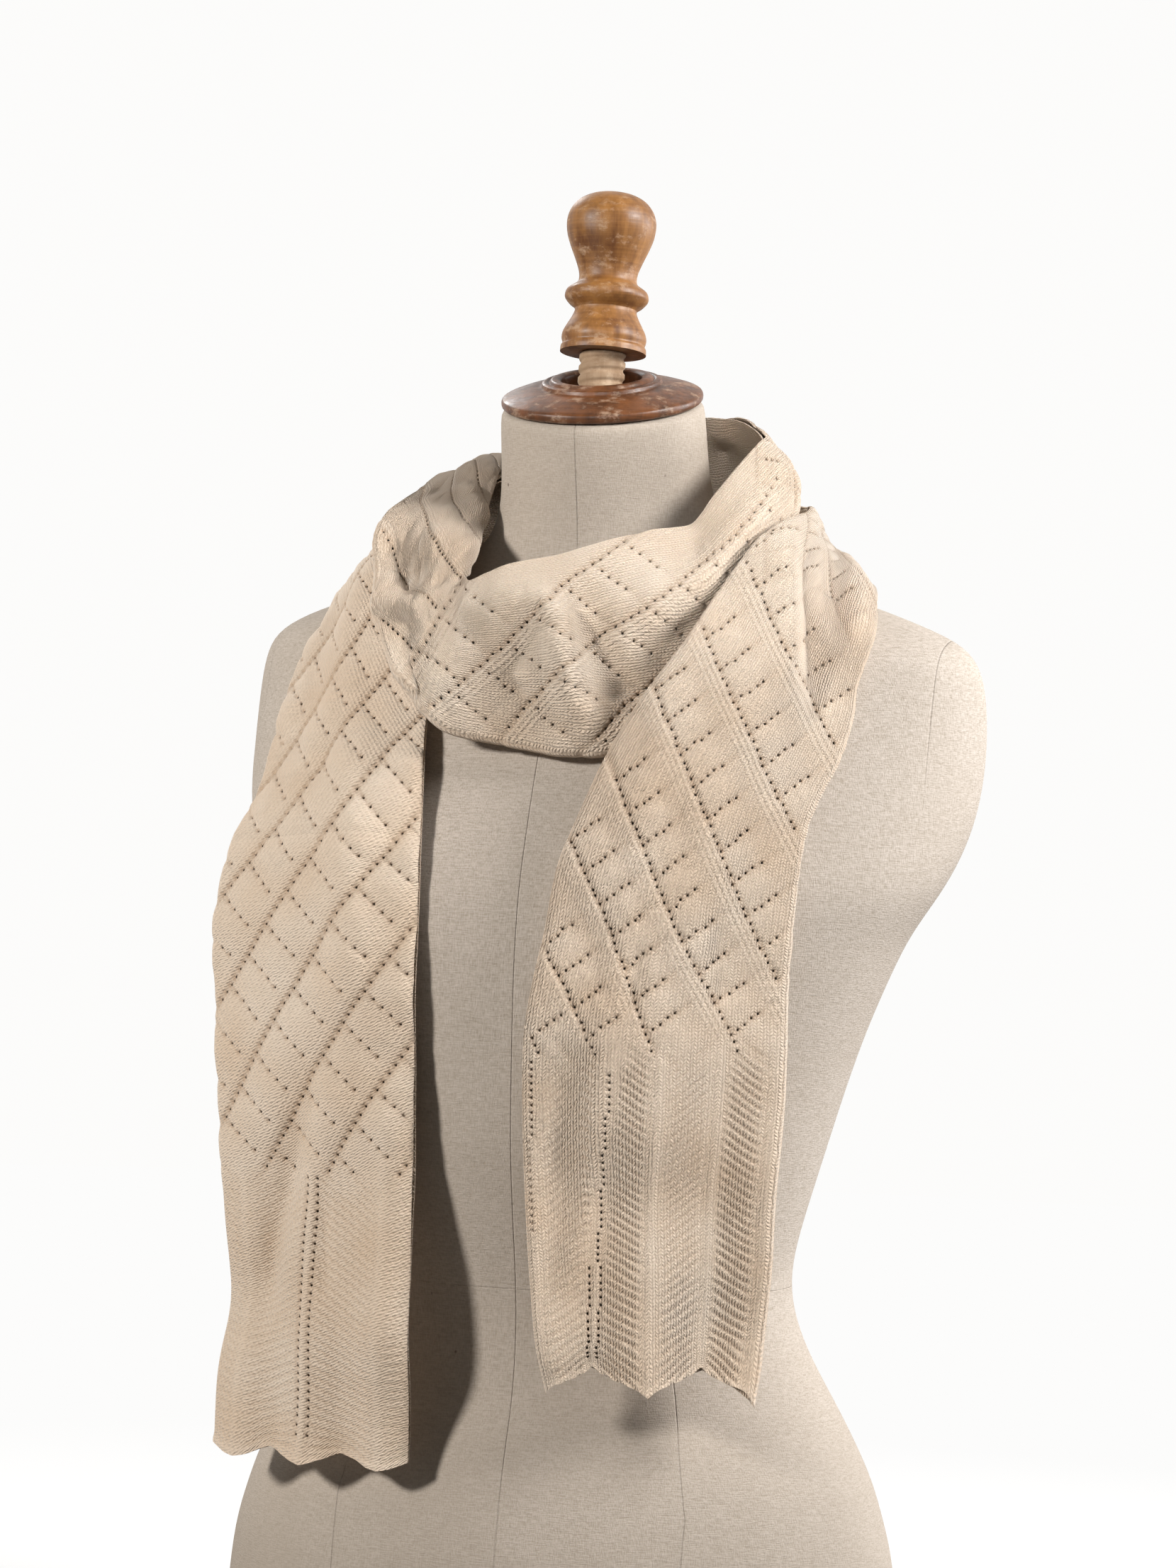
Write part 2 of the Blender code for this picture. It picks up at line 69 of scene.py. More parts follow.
# Studio: white paper, a dim room, and each light's angle to the right of the camera, its rise, its
# width, its power and its colour
PAPER_WHITE = 0.975
PAPER_GLOW = 0.93
ROOM_GLOW = 0.035
FLOOR_SHADE = 0.30
FLOOR_BOUNCE = ((0.12, 0.118, 0.115, 1.0), (0.15, 0.148, 0.145, 1.0))
LIGHT_DISTANCE = 2.2
STUDIO_LIGHTS = [
    ("left_window", -52.0, 18.0, 0.32, 49.0, (1.0, 0.97, 0.93)),
    ("right_window", 66.0, 30.0, 1.0, 88.0, (1.0, 0.985, 0.97)),
    ("right_edge", 104.0, 12.0, 1.0, 26.0, (0.95, 0.97, 1.0)),
    ("back_window", 205.0, 35.0, 0.5, 12.0, (1.0, 0.99, 0.98)),
]

# Narrow lamp at the camera that reaches into the back of the wrap: its aim, beam, size and power
WRAP_LAMP_AIM = Vector((0.066, 0.050, 0.624))
WRAP_LAMP_BEAM = math.radians(2.8)
WRAP_LAMP_RADIUS = 0.12
WRAP_LAMP_RISE = 0.24
WRAP_LAMP_POWER = 520.0

# Cap and finial: driving sizes
NECK_TILT = math.radians(16.5)
NECK_TOP = Vector((0.0, 0.0, 0.6455))
TOUCH_GAP = 0.0003
SEAM_WIDTH = 0.0005
ARMHOLE_SEAM = 0.178
FINIAL_TILT = math.radians(-6.0)
FINIAL_BASE = Vector((0.0, -0.003, 0.6715))
SCREW_RADIUS = 0.0120
SCREW_THREAD_DEPTH = 0.0011
SCREW_PITCH = 0.0060
SCREW_DEPTH = 0.050
SCREW_LEAD = 0.018
SCREW_SIDES = 48
SCREW_LEVELS = 10
TURNING_STEPS = 72
OUTLINE_STEPS = 3

# Finishes of wood: darkest and lightest tone, roughness, and the scales of the grain and tool lines
WOODS = {
    "dark_red_wood": ((0.045, 0.017, 0.007, 1.0), (0.19, 0.068, 0.022, 1.0), 0.32, 160.0, 900.0),
    "amber_varnish": ((0.12, 0.042, 0.010, 1.0), (0.36, 0.165, 0.045, 1.0), 0.36, 190.0, 600.0),
    "bare_pale_wood": ((0.25, 0.155, 0.085, 1.0), (0.40, 0.285, 0.185, 1.0), 0.7, 260.0, 120.0),
}
WORN_WOOD = (0.62, 0.48, 0.35, 1.0)
WOOD_WEAR = 0.6

# Colours of the linen: clean from dark to pale, gaps of its weave, darker low and at the neck, and
# pin holes
LINEN_CLEAN = ((0.49, 0.425, 0.365, 1.0), (0.60, 0.535, 0.475, 1.0))
LINEN_GAPS = (0.37, 0.315, 0.255, 1.0)
LINEN_DARKENED = (0.22, 0.165, 0.10, 1.0)
LINEN_PINS = (0.10, 0.07, 0.05, 1.0)
WAIST_SEAM = 0.198

# Colours of the cashmere: its raised yarn from warm to pale, the painted shade of its hollows and
# its sheen
YARN_RAISED = ((0.83, 0.648, 0.486, 1.0), (0.91, 0.765, 0.622, 1.0))
YARN_HOLLOW_SHADE = (0.49, 0.33, 0.21, 1.0)
YARN_SHEEN = (1.0, 0.95, 0.88, 1.0)

# Turned outline of the cap: radius and height over its underside
CAP_PROFILE = [
    (50.6, 0.0), (51.8, 1.2), (52.0, 3.4), (51.0, 5.0), (47.0, 6.6), (41.5, 8.4), (35.5, 9.8),
    (31.4, 10.4), (30.6, 12.2), (28.6, 12.9), (27.2, 12.3), (25.8, 14.0), (23.4, 14.3),
    (21.4, 13.4), (20.8, 11.6), (20.8, 0.0),
]

# Turned outline of the finial's knob: radius and height over its flange's underside
KNOB_PROFILE = [
    (22.2, 0.0), (22.0, 2.9), (21.2, 4.3), (21.9, 7.2), (21.3, 10.6), (19.4, 14.4), (17.0, 18.9),
    (16.0, 22.6), (18.8, 24.9), (21.3, 27.8), (21.6, 30.0), (20.6, 32.6), (17.4, 34.9),
    (15.4, 36.6), (14.9, 39.6), (15.6, 43.4), (17.6, 48.8), (20.3, 55.2), (22.3, 61.0),
    (23.1, 66.6), (22.7, 71.0), (20.9, 75.4), (17.2, 79.6), (11.6, 82.5), (5.6, 83.8),
]

# Scarf: driving sizes
DRAPE_TURN = math.radians(16.0)
LAYER_THICKNESS = 0.0018
LAYER_OFFSET = 0.0017
SCARF_COLUMNS = 12
REST_GAP = 0.0006
SEAM_GAP = 0.0004
SETTLE_REACH = 0.018
SETTLE_PASSES = 5

# Sections across the folded scarf, in millimetres in the drape frame, listed along its length from
# the left hem to the right one. The neck edge is open, the free edge is the fold, and the crown
# stands between them. Each stretch ends at the first row of the next.
LEFT_TAIL = [
    # neck_x, neck_y, neck_z, free_x, free_y, free_z, crown
    (-77, -104, 110, -171, -36, 108, 6),
    (-77.5, -104, 152, -170, -34, 158, 7),
    (-78.5, -104, 215, -170, -33, 215, 8),
    (-80, -104, 290, -176, -32, 285, 8),
    (-81, -104, 345, -181, -31, 342, 8),
    (-81, -102, 385, -183, -30, 376, 8),
    (-81.5, -94, 420, -175, -27, 412, 9),
    (-82, -82, 455, -162, -18, 443, 10),
    (-82, -62, 487, -149, -2, 480, 10),
    (-82, -46, 515, -142, 9, 504, 11),
    (-85, -26, 540, -134, 17, 520, 12),
    (-86, -4, 560, -127, 27, 536, 12),
]
BACK_INNER = [
    (-81, 22, 581, -121, 45, 547, 11),
    (-66, 44, 600, -113, 74, 556, 13),
    (-46, 60, 611, -95, 98, 555, 12),
    (-22, 74, 620, -60, 106, 554, 9),
    (4, 79, 632, -16, 108, 552, 9),
    (30, 73, 641, 32, 98, 550, 8),
    (50, 56, 644, 68, 84, 556, 8),
]
FRONT_LOOP = [
    (64, 36, 644, 91, 57, 562, 8),
    (75, 14, 640, 102, 26, 565, 7),
    (83, -4, 632, 103, -6, 556, 6),
    (80, -20, 627, 102, -38, 540, 7),
    (70, -36, 614, 95, -66, 518, 10),
    (57, -50, 596, 79, -82, 498, 11),
    (47, -58, 582, 58, -92, 480, 12),
    (28, -64, 578, 30, -95, 472, 12),
    (8, -66, 572, 2, -95, 468, 12),
    (-20, -66, 563, -22, -92, 470, 12),
    (-42, -64, 558, -46, -86, 474, 11),
    (-62, -58, 549, -74, -84, 481, 10),
]
LEFT_TURN = [
    (-65, -52, 551, -91, -82, 497, 9),
    (-63, -39, 559, -102, -66, 522, 9),
    (-61, -22, 569, -108, -46, 545, 9),
    (-59, 0, 582, -106, -24, 568, 9),
    (-57, 20, 596, -97, 2, 585, 8),
    (-54, 38, 608, -84, 28, 599, 7),
    (-51, 54, 615, -75, 57, 606, 6),
]
BACK_OUTER = [
    (-46, 73, 620, -76, 86, 601, 7),
    (-32, 91, 620, -69, 112, 574, 8),
    (-8, 101, 614, -38, 122, 542, 8),
    (25, 99, 607, 12, 115, 526, 8),
    (54, 89, 603, 59, 102, 523, 8),
    (82, 73, 602, 99, 83, 529, 8),
]
RIGHT_TAIL = [
    (106, 34, 598, 129, 46, 551, 7),
    (107, 10, 594, 135, 18, 556, 7),
    (103, -18, 588, 135, -6, 556, 7),
    (95, -52, 583, 135, -27, 549, 7),
    (79, -78, 573, 133, -51, 530, 8),
    (61, -92, 548, 127, -74, 501, 8),
    (46, -106, 524, 124, -88, 481, 8),
    (30, -114, 501, 118, -100, 464, 8),
    (18, -118, 482, 111, -108, 450, 8),
    (8, -120, 463, 105, -114, 436, 8),
    (-4, -122, 434, 101, -118, 418, 7),
    (-13, -123, 408, 99.5, -120, 398, 7),
    (-18, -124, 376, 98, -121, 372, 7),
    (-26, -125, 330, 97.5, -122, 336, 7),
    (-26, -125, 290, 97.5, -122, 298, 7),
    (-23, -125, 245, 95.5, -123, 256, 7),
    (-19, -126, 205, 94.5, -123, 214, 7),
    (-15, -126, 176, 92.5, -124, 182, 6),
    (-11, -126, 160, 90.5, -124, 160, 6),
]

# Largest folds. Each runs between two places given as shares of the stretch's length and width; a
# positive rise is a ridge and a negative one a trough.
FOLDS = {
    "scarf_tail_left": [
        # from_along, from_across, to_along, to_across, half_width_mm, rise_mm
        (0.16, 0.80, 0.36, 0.52, 12, -4),
        (0.50, 0.30, 0.78, 0.42, 14, 3),
        (0.74, 0.62, 0.96, 0.55, 12, 4),
    ],
    "scarf_back_inner": [
        (0.30, 0.72, 0.95, 0.66, 12, -3),
    ],
    "scarf_front_loop": [
        (0.16, 0.30, 0.62, 0.36, 14, 4),
        (0.20, 0.64, 0.48, 0.72, 15, -4),
        (0.88, 0.22, 0.74, 0.84, 15, 6),
        (0.58, 0.50, 0.64, 0.72, 16, -5),
    ],
    "scarf_left_turn": [
        (0.20, 0.62, 0.30, 0.84, 10, -6),
        (0.40, 0.25, 0.46, 0.75, 11, 4),
        (0.61, 0.10, 0.68, 0.66, 10, -4),
    ],
    "scarf_back_outer": [
        (0.05, 0.30, 0.70, 0.36, 12, 4),
        (0.20, 0.64, 0.95, 0.60, 12, -4),
    ],
    "scarf_tail_right": [
        (0.00, 0.40, 0.20, 0.68, 14, -7),
        (0.30, 0.40, 0.52, 0.62, 15, 3),
        (0.58, 0.22, 0.80, 0.20, 14, -3),
    ],
}

# Each stretch in order along the scarf: its sections, the distance between its rings in metres, the
# height of a knitted row in millimetres (hung cloth stretches, gathered cloth closes up), the share
# of the knit's relief that shows, how much thicker it stands at its fold in millimetres, and what it
# rests on. A stretch lies on the form and on every earlier one but the one it carries on from.
Stretch = namedtuple("Stretch", "sections spacing row_height relief puff rests_on")
STRETCHES = {
    "scarf_tail_left": Stretch(LEFT_TAIL, 0.024, 2.05, 1.0, 1.2, ["form_cover"]),
    "scarf_back_inner": Stretch(BACK_INNER, 0.017, 1.90, 0.7, 1.8, ["form_cover"]),
    "scarf_front_loop": Stretch(FRONT_LOOP, 0.016, 1.90, 1.0, 3.0, ["form_cover", "knit_tail_left"]),
    "scarf_left_turn": Stretch(LEFT_TURN, 0.014, 1.80, 0.45, 2.6, ["knit_tail_left"]),
    "scarf_back_outer": Stretch(BACK_OUTER, 0.019, 1.80, 0.7, 2.4,
                                ["form_cover", "knit_back_inner"]),
    "scarf_tail_right": Stretch(RIGHT_TAIL, 0.021, 1.75, 1.0, 1.6,
                                ["form_cover", "knit_front_loop"]),
}

# Scalloped hems, left and right: columns from a point to the next, the first point's column, depth
# of the scallops, and the height over which the cloth ripples with them
HEMS = {
    "left": {"period": 4.5, "first": 1.5, "depth": 0.0075, "ripple": 0.0020, "zone": 0.150},
    "right": {"period": 6.0, "first": 0.0, "depth": 0.0150, "ripple": 0.0026, "zone": 0.165},
}

# Layout of the fine band, the angles of its fold's corners, and how it closes at its open edge
STITCHES = 39
COLUMNS = 2 * STITCHES
RINGS_PER_STEP = 3
BACK_STRIDE = 6
CLOTH_THICKNESS = 0.0015
FOLD_TURNS = (36.0, 72.0, 108.0, 144.0)
COARSE_TURNS = (45.0, 90.0, 135.0)
EDGE_CLOSING = 0.0008
EDGE_SHARE = 0.05
EDGE_THINNING = 0.45
FOLD_SHARE = 0.22
FADE_RINGS = 12
PUSH_SPREAD = 12
PUSH_KEPT = 0.85
PUSH_SMOOTHING = 4
# Point fields read by the knit's finish: the rise, which only paints shade into the yarn's colour
# where the cloth sinks, the ribs and their count
KNIT_FIELDS = ("rise", "ribs", "rib_count")

# Lace lattice, in stitches and pairs of rows: every repeat has one long line of eyelets that moves a
# stitch with each pair of rows, three ribs beside it, and short lines that branch off it
LACE_REPEAT = 14
LACE_BRANCH_STEP = 4
LACE_START = {"left": 9, "right": 0}
BRANCH_START = {"left": 1, "right": 0}
BRANCH_STITCHES = {"left": 10.0, "right": 8.0}
BRANCH_STRIDE = {"left": 2.5, "right": 2.0}
EYELET_RADIUS = 0.00064
# Painted shade round each eyelet: how far it lowers the rise that sets the yarn's colour
EYELET_SHADE = 0.8
EYELET_SINK = 0.00055
EYELET_RIM = [(-1, -1), (0, -1), (1, -1), (1, 0), (1, 1), (0, 1), (-1, 1), (-1, 0)]
LINE_SINK = 0.0006
LINE_STITCHES = 0.8
BRANCH_PAIRS = 0.35
BRANCH_SHARE = 0.9
RIB_HEIGHT = 0.0006
WRONG_SIDE_RIBS = 0.15
RIBS_MIDDLE = 2.0
RIBS_REACH = 1.6
PUFF_HEIGHT = {"left": 0.0016, "right": 0.0008}

# Long eyelet lines where the lattice faces the camera, in the photograph's pixels. Each starts where
# a short line branches off, and has its three ribs on its other side.
LACE_LINES = {
    "scarf_front_loop": {
        "from": 0.30, "pitch": 13.4, "branch": (12.0, 9.0), "ribs": -1, "lines": [
            [(649, 828), (640, 840), (627, 862), (613, 887), (603, 899), (590, 928), (581, 950)],
            [(880, 768), (863, 781), (819, 810), (794, 825), (770, 850), (735, 890), (701, 923),
             (652, 963), (610, 995), (600, 1003)],
            [(1100, 670), (1084, 702), (1045, 752), (996, 796), (947, 835), (902, 869), (855, 893),
             (824, 909), (800, 940), (775, 965), (745, 995), (718, 1030)],
            [(1040, 855), (985, 905), (930, 955), (880, 1000), (840, 1036)],
        ],
    },
    "scarf_tail_right": {
        "from": 0.20, "pitch": 12.2, "branch": (9.8, -7.4), "ribs": 1, "lines": [
            [(1046, 786), (1064, 818), (1077, 855), (1090, 882), (1110, 925), (1133, 975),
             (1154, 1015), (1172, 1060)],
            [(978, 858), (997, 905), (1016, 949), (1036, 994), (1057, 1038), (1076, 1086),
             (1103, 1145), (1116, 1175), (1150, 1250)],
            [(924, 975), (943, 1023), (971, 1095), (1005, 1174), (1020, 1218), (1034, 1252),
             (1075, 1345), (1115, 1435)],
            [(872, 1103), (892, 1160), (916, 1218), (948, 1300), (969, 1344), (994, 1393),
             (1022, 1443), (1046, 1494)],
            [(807, 1187), (835, 1250), (862, 1306), (888, 1393), (907, 1443), (925, 1494)],
            [(767, 1334), (797, 1393), (821, 1443), (842, 1489)],
            [(752, 1462), (762, 1486)],
        ],
    },
}
BRANCH_EYELETS = 4
LINE_SMOOTHING = 12
LINE_OVERRUN = 5.0
LINE_HALF = 4.0
BRANCH_REACH = 6
BRANCH_HALF = 3.6
BRANCH_SINK = 0.6 * LINE_SINK
PUFF_SHIFT = (2.0, 22.0)
PUFF_HALF = 17.0
EYELET_REACH = 4.0
LACE_FADE_IN = 30.0
LACE_FADE_OUT = 14.0
RIB_PITCH = 8.0

# Knitted hem zones: height in rows, pitch and height of their slanting ridges, how far the ridges
# climb between two turns, and the stitches where they turn, each with its height there
HEM_ROWS = {"left": 70, "right": 92}
HEM_FADE = 7.0
HEM_REACH = 16
HEM_SHARPNESS = {"left": 0.5, "right": 1.6}
HEM_RIDGE_PITCH = 0.0044
HEM_RIDGE_HEIGHT = {"left": 0.0004, "right": 0.00058}
HEM_CLIMB = {"left": (0.010, 0.026), "right": (0.015, 0.025)}
HEM_TURNS = {
    "left": ((-3.0, 0.5), (4.9, 0.0), (19.5, 1.0), (34.1, 0.0), (42.0, 0.5)),
    "right": ((0.0, 0.0), (9.75, 1.0), (19.5, 0.0), (29.25, 1.0), (39.0, 0.0)),
}

# Upright lines over the hems: stitch at the edge and at the zone's top, rows from the edge where its
# eyelets start and end, their reach to each side in stitches, and the height of its ribs
HEM_LINES = {
    "left": [
        (19.5, 19.5, 6, 70, (-1.0, 1.0), 0.0006),
        (4.9, 4.5, 0, 0, (), 0.0004),
        (34.1, 34.5, 0, 0, (), 0.0004),
    ],
    "right": [
        (0.5, 1.5, 44, 92, (0.0,), 0.0004),
        (9.75, 14.0, 6, 34, (-1.0, 1.0), 0.0007),
        (9.75, 14.0, 34, 88, (0.0,), 0.0004),
        (19.5, 21.0, 0, 0, (), 0.0009),
        (29.25, 30.0, 0, 0, (), 0.0009),
        (38.3, 38.3, 0, 0, (), 0.0006),
    ],
}

# How softly the lines of a hem end, in stitches, and the height and reach of its firm edge
HEM_SIDE = 2.5
HEM_LINE_HALF = 1.7
HEM_LINE_PITCH = 2.2
HEM_BEAD = 0.0008
HEM_BEAD_ROWS = 1.4

# Finer folds that show from the front, as lines of points in the photograph's pixels, with their
# half width in pixels and their rise in millimetres
CREASES = {
    "scarf_tail_left": [
        ([(520, 1120), (500, 1260), (505, 1420)], 34, 1.6),
        ([(425, 1575), (396, 1710), (372, 1860)], 17, -2.8),
        ([(447, 1590), (424, 1710), (406, 1840)], 17, 1.8),
        ([(345, 1600), (338, 1720), (334, 1840)], 20, 1.2),
        ([(455, 1690), (462, 1830)], 14, -1.6),
        ([(548, 1500), (552, 1700), (550, 1900)], 22, 1.6),
        ([(430, 960), (405, 1040)], 26, 2.2),
        ([(470, 1010), (452, 1110)], 14, -1.8),
    ],
    "scarf_back_inner": [
        ([(1006, 602), (1040, 606), (1072, 626)], 13, 5.0),
        ([(1006, 640), (1030, 636)], 10, -4.0),
        ([(1020, 664), (1008, 700)], 10, 3.5),
    ],
    "scarf_front_loop": [
        ([(738, 850), (768, 858), (788, 884), (797, 930), (806, 968), (830, 1010)], 21, 7.4),
        ([(824, 860), (842, 912), (862, 955), (888, 985)], 28, -5.2),
        ([(1090, 700), (1010, 800), (960, 850), (900, 895)], 26, 4.2),
        ([(1050, 850), (985, 930), (930, 985)], 26, -4.0),
        ([(690, 1010), (640, 960), (600, 950)], 40, 3.5),
        ([(900, 780), (820, 810), (740, 850)], 30, 2.0),
        ([(742, 905), (722, 950), (742, 985)], 16, -3.0),
        ([(560, 860), (578, 920), (600, 1000)], 13, -2.0),
        ([(1085, 640), (1120, 690), (1112, 740)], 16, 2.5),
    ],
    "scarf_left_turn": [
        ([(598, 768), (640, 772), (668, 796)], 26, 6.0),
        ([(606, 706), (640, 712), (662, 735)], 20, -2.0),
        ([(652, 690), (670, 718), (684, 748)], 12, 3.0),
        ([(590, 690), (620, 660), (655, 640)], 14, 3.0),
        ([(573, 806), (575, 836)], 16, -5.0),
        ([(540, 858), (590, 862), (640, 838), (668, 812)], 12, 4.5),
        ([(545, 790), (550, 750), (575, 720)], 12, 3.5),
        ([(612, 822), (640, 830)], 12, -2.5),
    ],
    "scarf_tail_right": [
        ([(1146, 740), (1142, 800), (1142, 860), (1143, 925), (1150, 1010)], 19, -6.0),
        ([(1112, 735), (1108, 800), (1110, 870), (1116, 950)], 18, 3.0),
        ([(1184, 750), (1198, 812), (1208, 869), (1206, 935)], 18, 4.5),
        ([(1090, 1010), (1080, 1150), (1088, 1290)], 30, 2.0),
        ([(960, 960), (930, 1080), (900, 1200)], 34, 1.8),
        ([(800, 1540), (788, 1700), (770, 1850)], 17, -1.6),
        ([(850, 1480), (838, 1640), (812, 1800)], 18, 1.8),
        ([(1010, 1300), (1016, 1420)], 18, -2.0),
        ([(905, 1330), (890, 1440)], 15, -1.8),
    ],
}

# How a crease tapers to its ends, how a place counts as facing the camera, and how softly the
# stretches' own values change along the scarf, in passes
CREASE_END = 0.30
FACING_START = 0.15
FACING_SPAN = 0.45
FACING_LEAST = 0.02
RELIEF_SOFTENING = 60
PUFF_SOFTENING = 400

# Soft waves where the tails hang free: the height where they start, the height over which they grow,
# and for each wave its length, its turns across the cloth, its start and its rise in millimetres.
# The back layer drops away from the front one in waves of its own.
WAVE_TOP = 0.38
WAVE_GROWTH = 0.10
TAIL_WAVES = [
    (0.165, 0.45, 0.10, 2.2),
    (0.097, -0.70, 0.55, 1.2),
    (0.058, 0.30, 0.30, 0.5),
]
BACK_DROP = 0.0022
BACK_WAVE = 0.115


def link_new(name, data):
    """New object in the scene, at its origin."""
    item = bpy.data.objects.new(name, data)
    bpy.context.scene.collection.objects.link(item)
    return item


def add_mesh(name, points, edges, faces):
    mesh = bpy.data.meshes.new(name)
    mesh.from_pydata(points, edges, faces)
    mesh.update()
    return link_new(name, mesh)


def pick_only(item):
    bpy.ops.object.select_all(action="DESELECT")
    item.select_set(True)
    bpy.context.view_layer.objects.active = item


def point_at(item, place, target):
    item.location = place
    item.rotation_euler = (target - place).to_track_quat("-Z", "Y").to_euler()


def leaning(tilt):
    """Turn about X; a positive tilt lowers the front."""
    return Matrix.Rotation(tilt, 3, "X")


# Curves and fields

def spline_rows(values, places, straight=True):
    """Smooth curve along the first axis. Beyond each end it runs straight on, or flattens."""
    before = values[:1]
    after = values[-1:]
    if straight:
        before = 2.0 * before - values[1:2]
        after = 2.0 * after - values[-2:-1]
    padded = np.concatenate([before, values, after])
    index = np.clip(np.floor(places).astype(int), 0, len(values) - 2)
    share = (places - index).reshape((-1,) + (1,) * (values.ndim - 1))
    weights = (
        -0.5 * share ** 3 + share ** 2 - 0.5 * share,
        1.5 * share ** 3 - 2.5 * share ** 2 + 1.0,
        -1.5 * share ** 3 + 2.0 * share ** 2 + 0.5 * share,
        0.5 * share ** 3 - 0.5 * share ** 2,
    )
    return sum(padded[index + step] * weight for step, weight in enumerate(weights))


def unit(vectors):
    return vectors / np.maximum(np.linalg.norm(vectors, axis=-1, keepdims=True), 1e-12)


def band_normals(band):
    """Outward direction at each place of a grid of points."""
    return unit(np.cross(np.gradient(band, axis=0), np.gradient(band, axis=1)))


def run_lengths(line):
    """Distance from a line's start to each of its points."""
    return np.concatenate([[0.0], np.cumsum(np.linalg.norm(np.diff(line, axis=0), axis=1))])


def blurred(field, passes):
    """Soften a field over its rings and columns."""
    for _ in range(passes):
        for axis in (0, 1):
            front = np.take(field, [0], axis)
            back = np.take(field, [-1], axis)
            padded = np.concatenate([front, field, back], axis)
            low = np.take(padded, range(0, field.shape[axis]), axis)
            high = np.take(padded, range(2, field.shape[axis] + 2), axis)
            field = 0.25 * low + 0.5 * field + 0.25 * high
    return field


def line_gaps(flat, line):
    """Signed distance of each place from a line of points, and how far along the line that is."""
    nearest, signed, place = (np.full(flat.shape[:-1], FAR) for _ in range(3))
    for index, (start, end) in enumerate(zip(line[:-1], line[1:])):
        run = end - start
        share = np.clip((flat - start) @ run / (run @ run), 0.0, 1.0)
        away = flat - start - share[..., None] * run
        gap = np.linalg.norm(away, axis=-1)
        side = np.sign(run[0] * away[..., 1] - run[1] * away[..., 0])
        closer = gap < nearest
        signed = np.where(closer, gap * side, signed)
        place = np.where(closer, (index + share) / (len(line) - 1), place)
        nearest = np.minimum(nearest, gap)
    return signed, place


def search_tree(points, faces):
    return BVHTree.FromPolygons([tuple(point) for point in points.tolist()],
                                [tuple(face) for face in faces.tolist()])


# Materials

class Value:
    """Output of a node. Sums of values add the nodes that work them out."""

    def __init__(self, socket):
        self.socket = socket
        self.tree = socket.id_data

    def maths(self, operation, other=0.0):
        return output_of(self.tree, "ShaderNodeMath", 0, {0: self, 1: other}, operation=operation)

    def __add__(self, other):
        return self.maths("ADD", other)

    def __sub__(self, other):
        return self.maths("SUBTRACT", other)

    def __mul__(self, other):
        return self.maths("MULTIPLY", other)

    def part(self, axis):
        return output_of(self.tree, "ShaderNodeSeparateXYZ", axis, {"Vector": self})

    def spread(self, low, high, to_low=0.0, to_high=1.0):
        return output_of(self.tree, "ShaderNodeMapRange", "Result", {
            "Value": self, "From Min": low, "From Max": high, "To Min": to_low, "To Max": to_high})


def fill(item, inputs):
    """Give a node's inputs their constants, or the values that drive them."""
    for key, value in inputs.items():
        if isinstance(value, Value):
            item.id_data.links.new(value.socket, item.inputs[key])
        else:
            item.inputs[key].default_value = value


def output_of(tree, kind, output, inputs=None, **settings):
    """Add a node and take one of its outputs."""
    item = tree.nodes.new(kind)
    for key, value in settings.items():
        setattr(item, key, value)
    fill(item, inputs or {})
    return Value(item.outputs[output])


def new_finish(name):
    """New material with its shader, and the place of each point on the object."""
    material = bpy.data.materials.new(name)
    material.use_nodes = True
    tree = material.node_tree
    return material, tree.nodes["Principled BSDF"], output_of(tree, "ShaderNodeTexCoord", "Object")


def blend_colours(share, first, second):
    return output_of(share.tree, "ShaderNodeMix", 2, {0: share, 6: first, 7: second},
                     data_type="RGBA")


def cloud(place, scale, detail=3.0, roughness=0.5):
    """Soft random values from 0 to 1. Three scales stretch them along the axes."""
    if isinstance(scale, tuple):
        place = output_of(place.tree, "ShaderNodeMapping", 0, {"Vector": place, "Scale": scale})
        scale = 1.0
    return output_of(place.tree, "ShaderNodeTexNoise", "Fac", {
        "Vector": place, "Scale": scale, "Detail": detail, "Roughness": roughness})


def raised(height, depth):
    return output_of(height.tree, "ShaderNodeBump", 0,
                     {"Height": height, "Distance": depth, "Strength": 1.0})


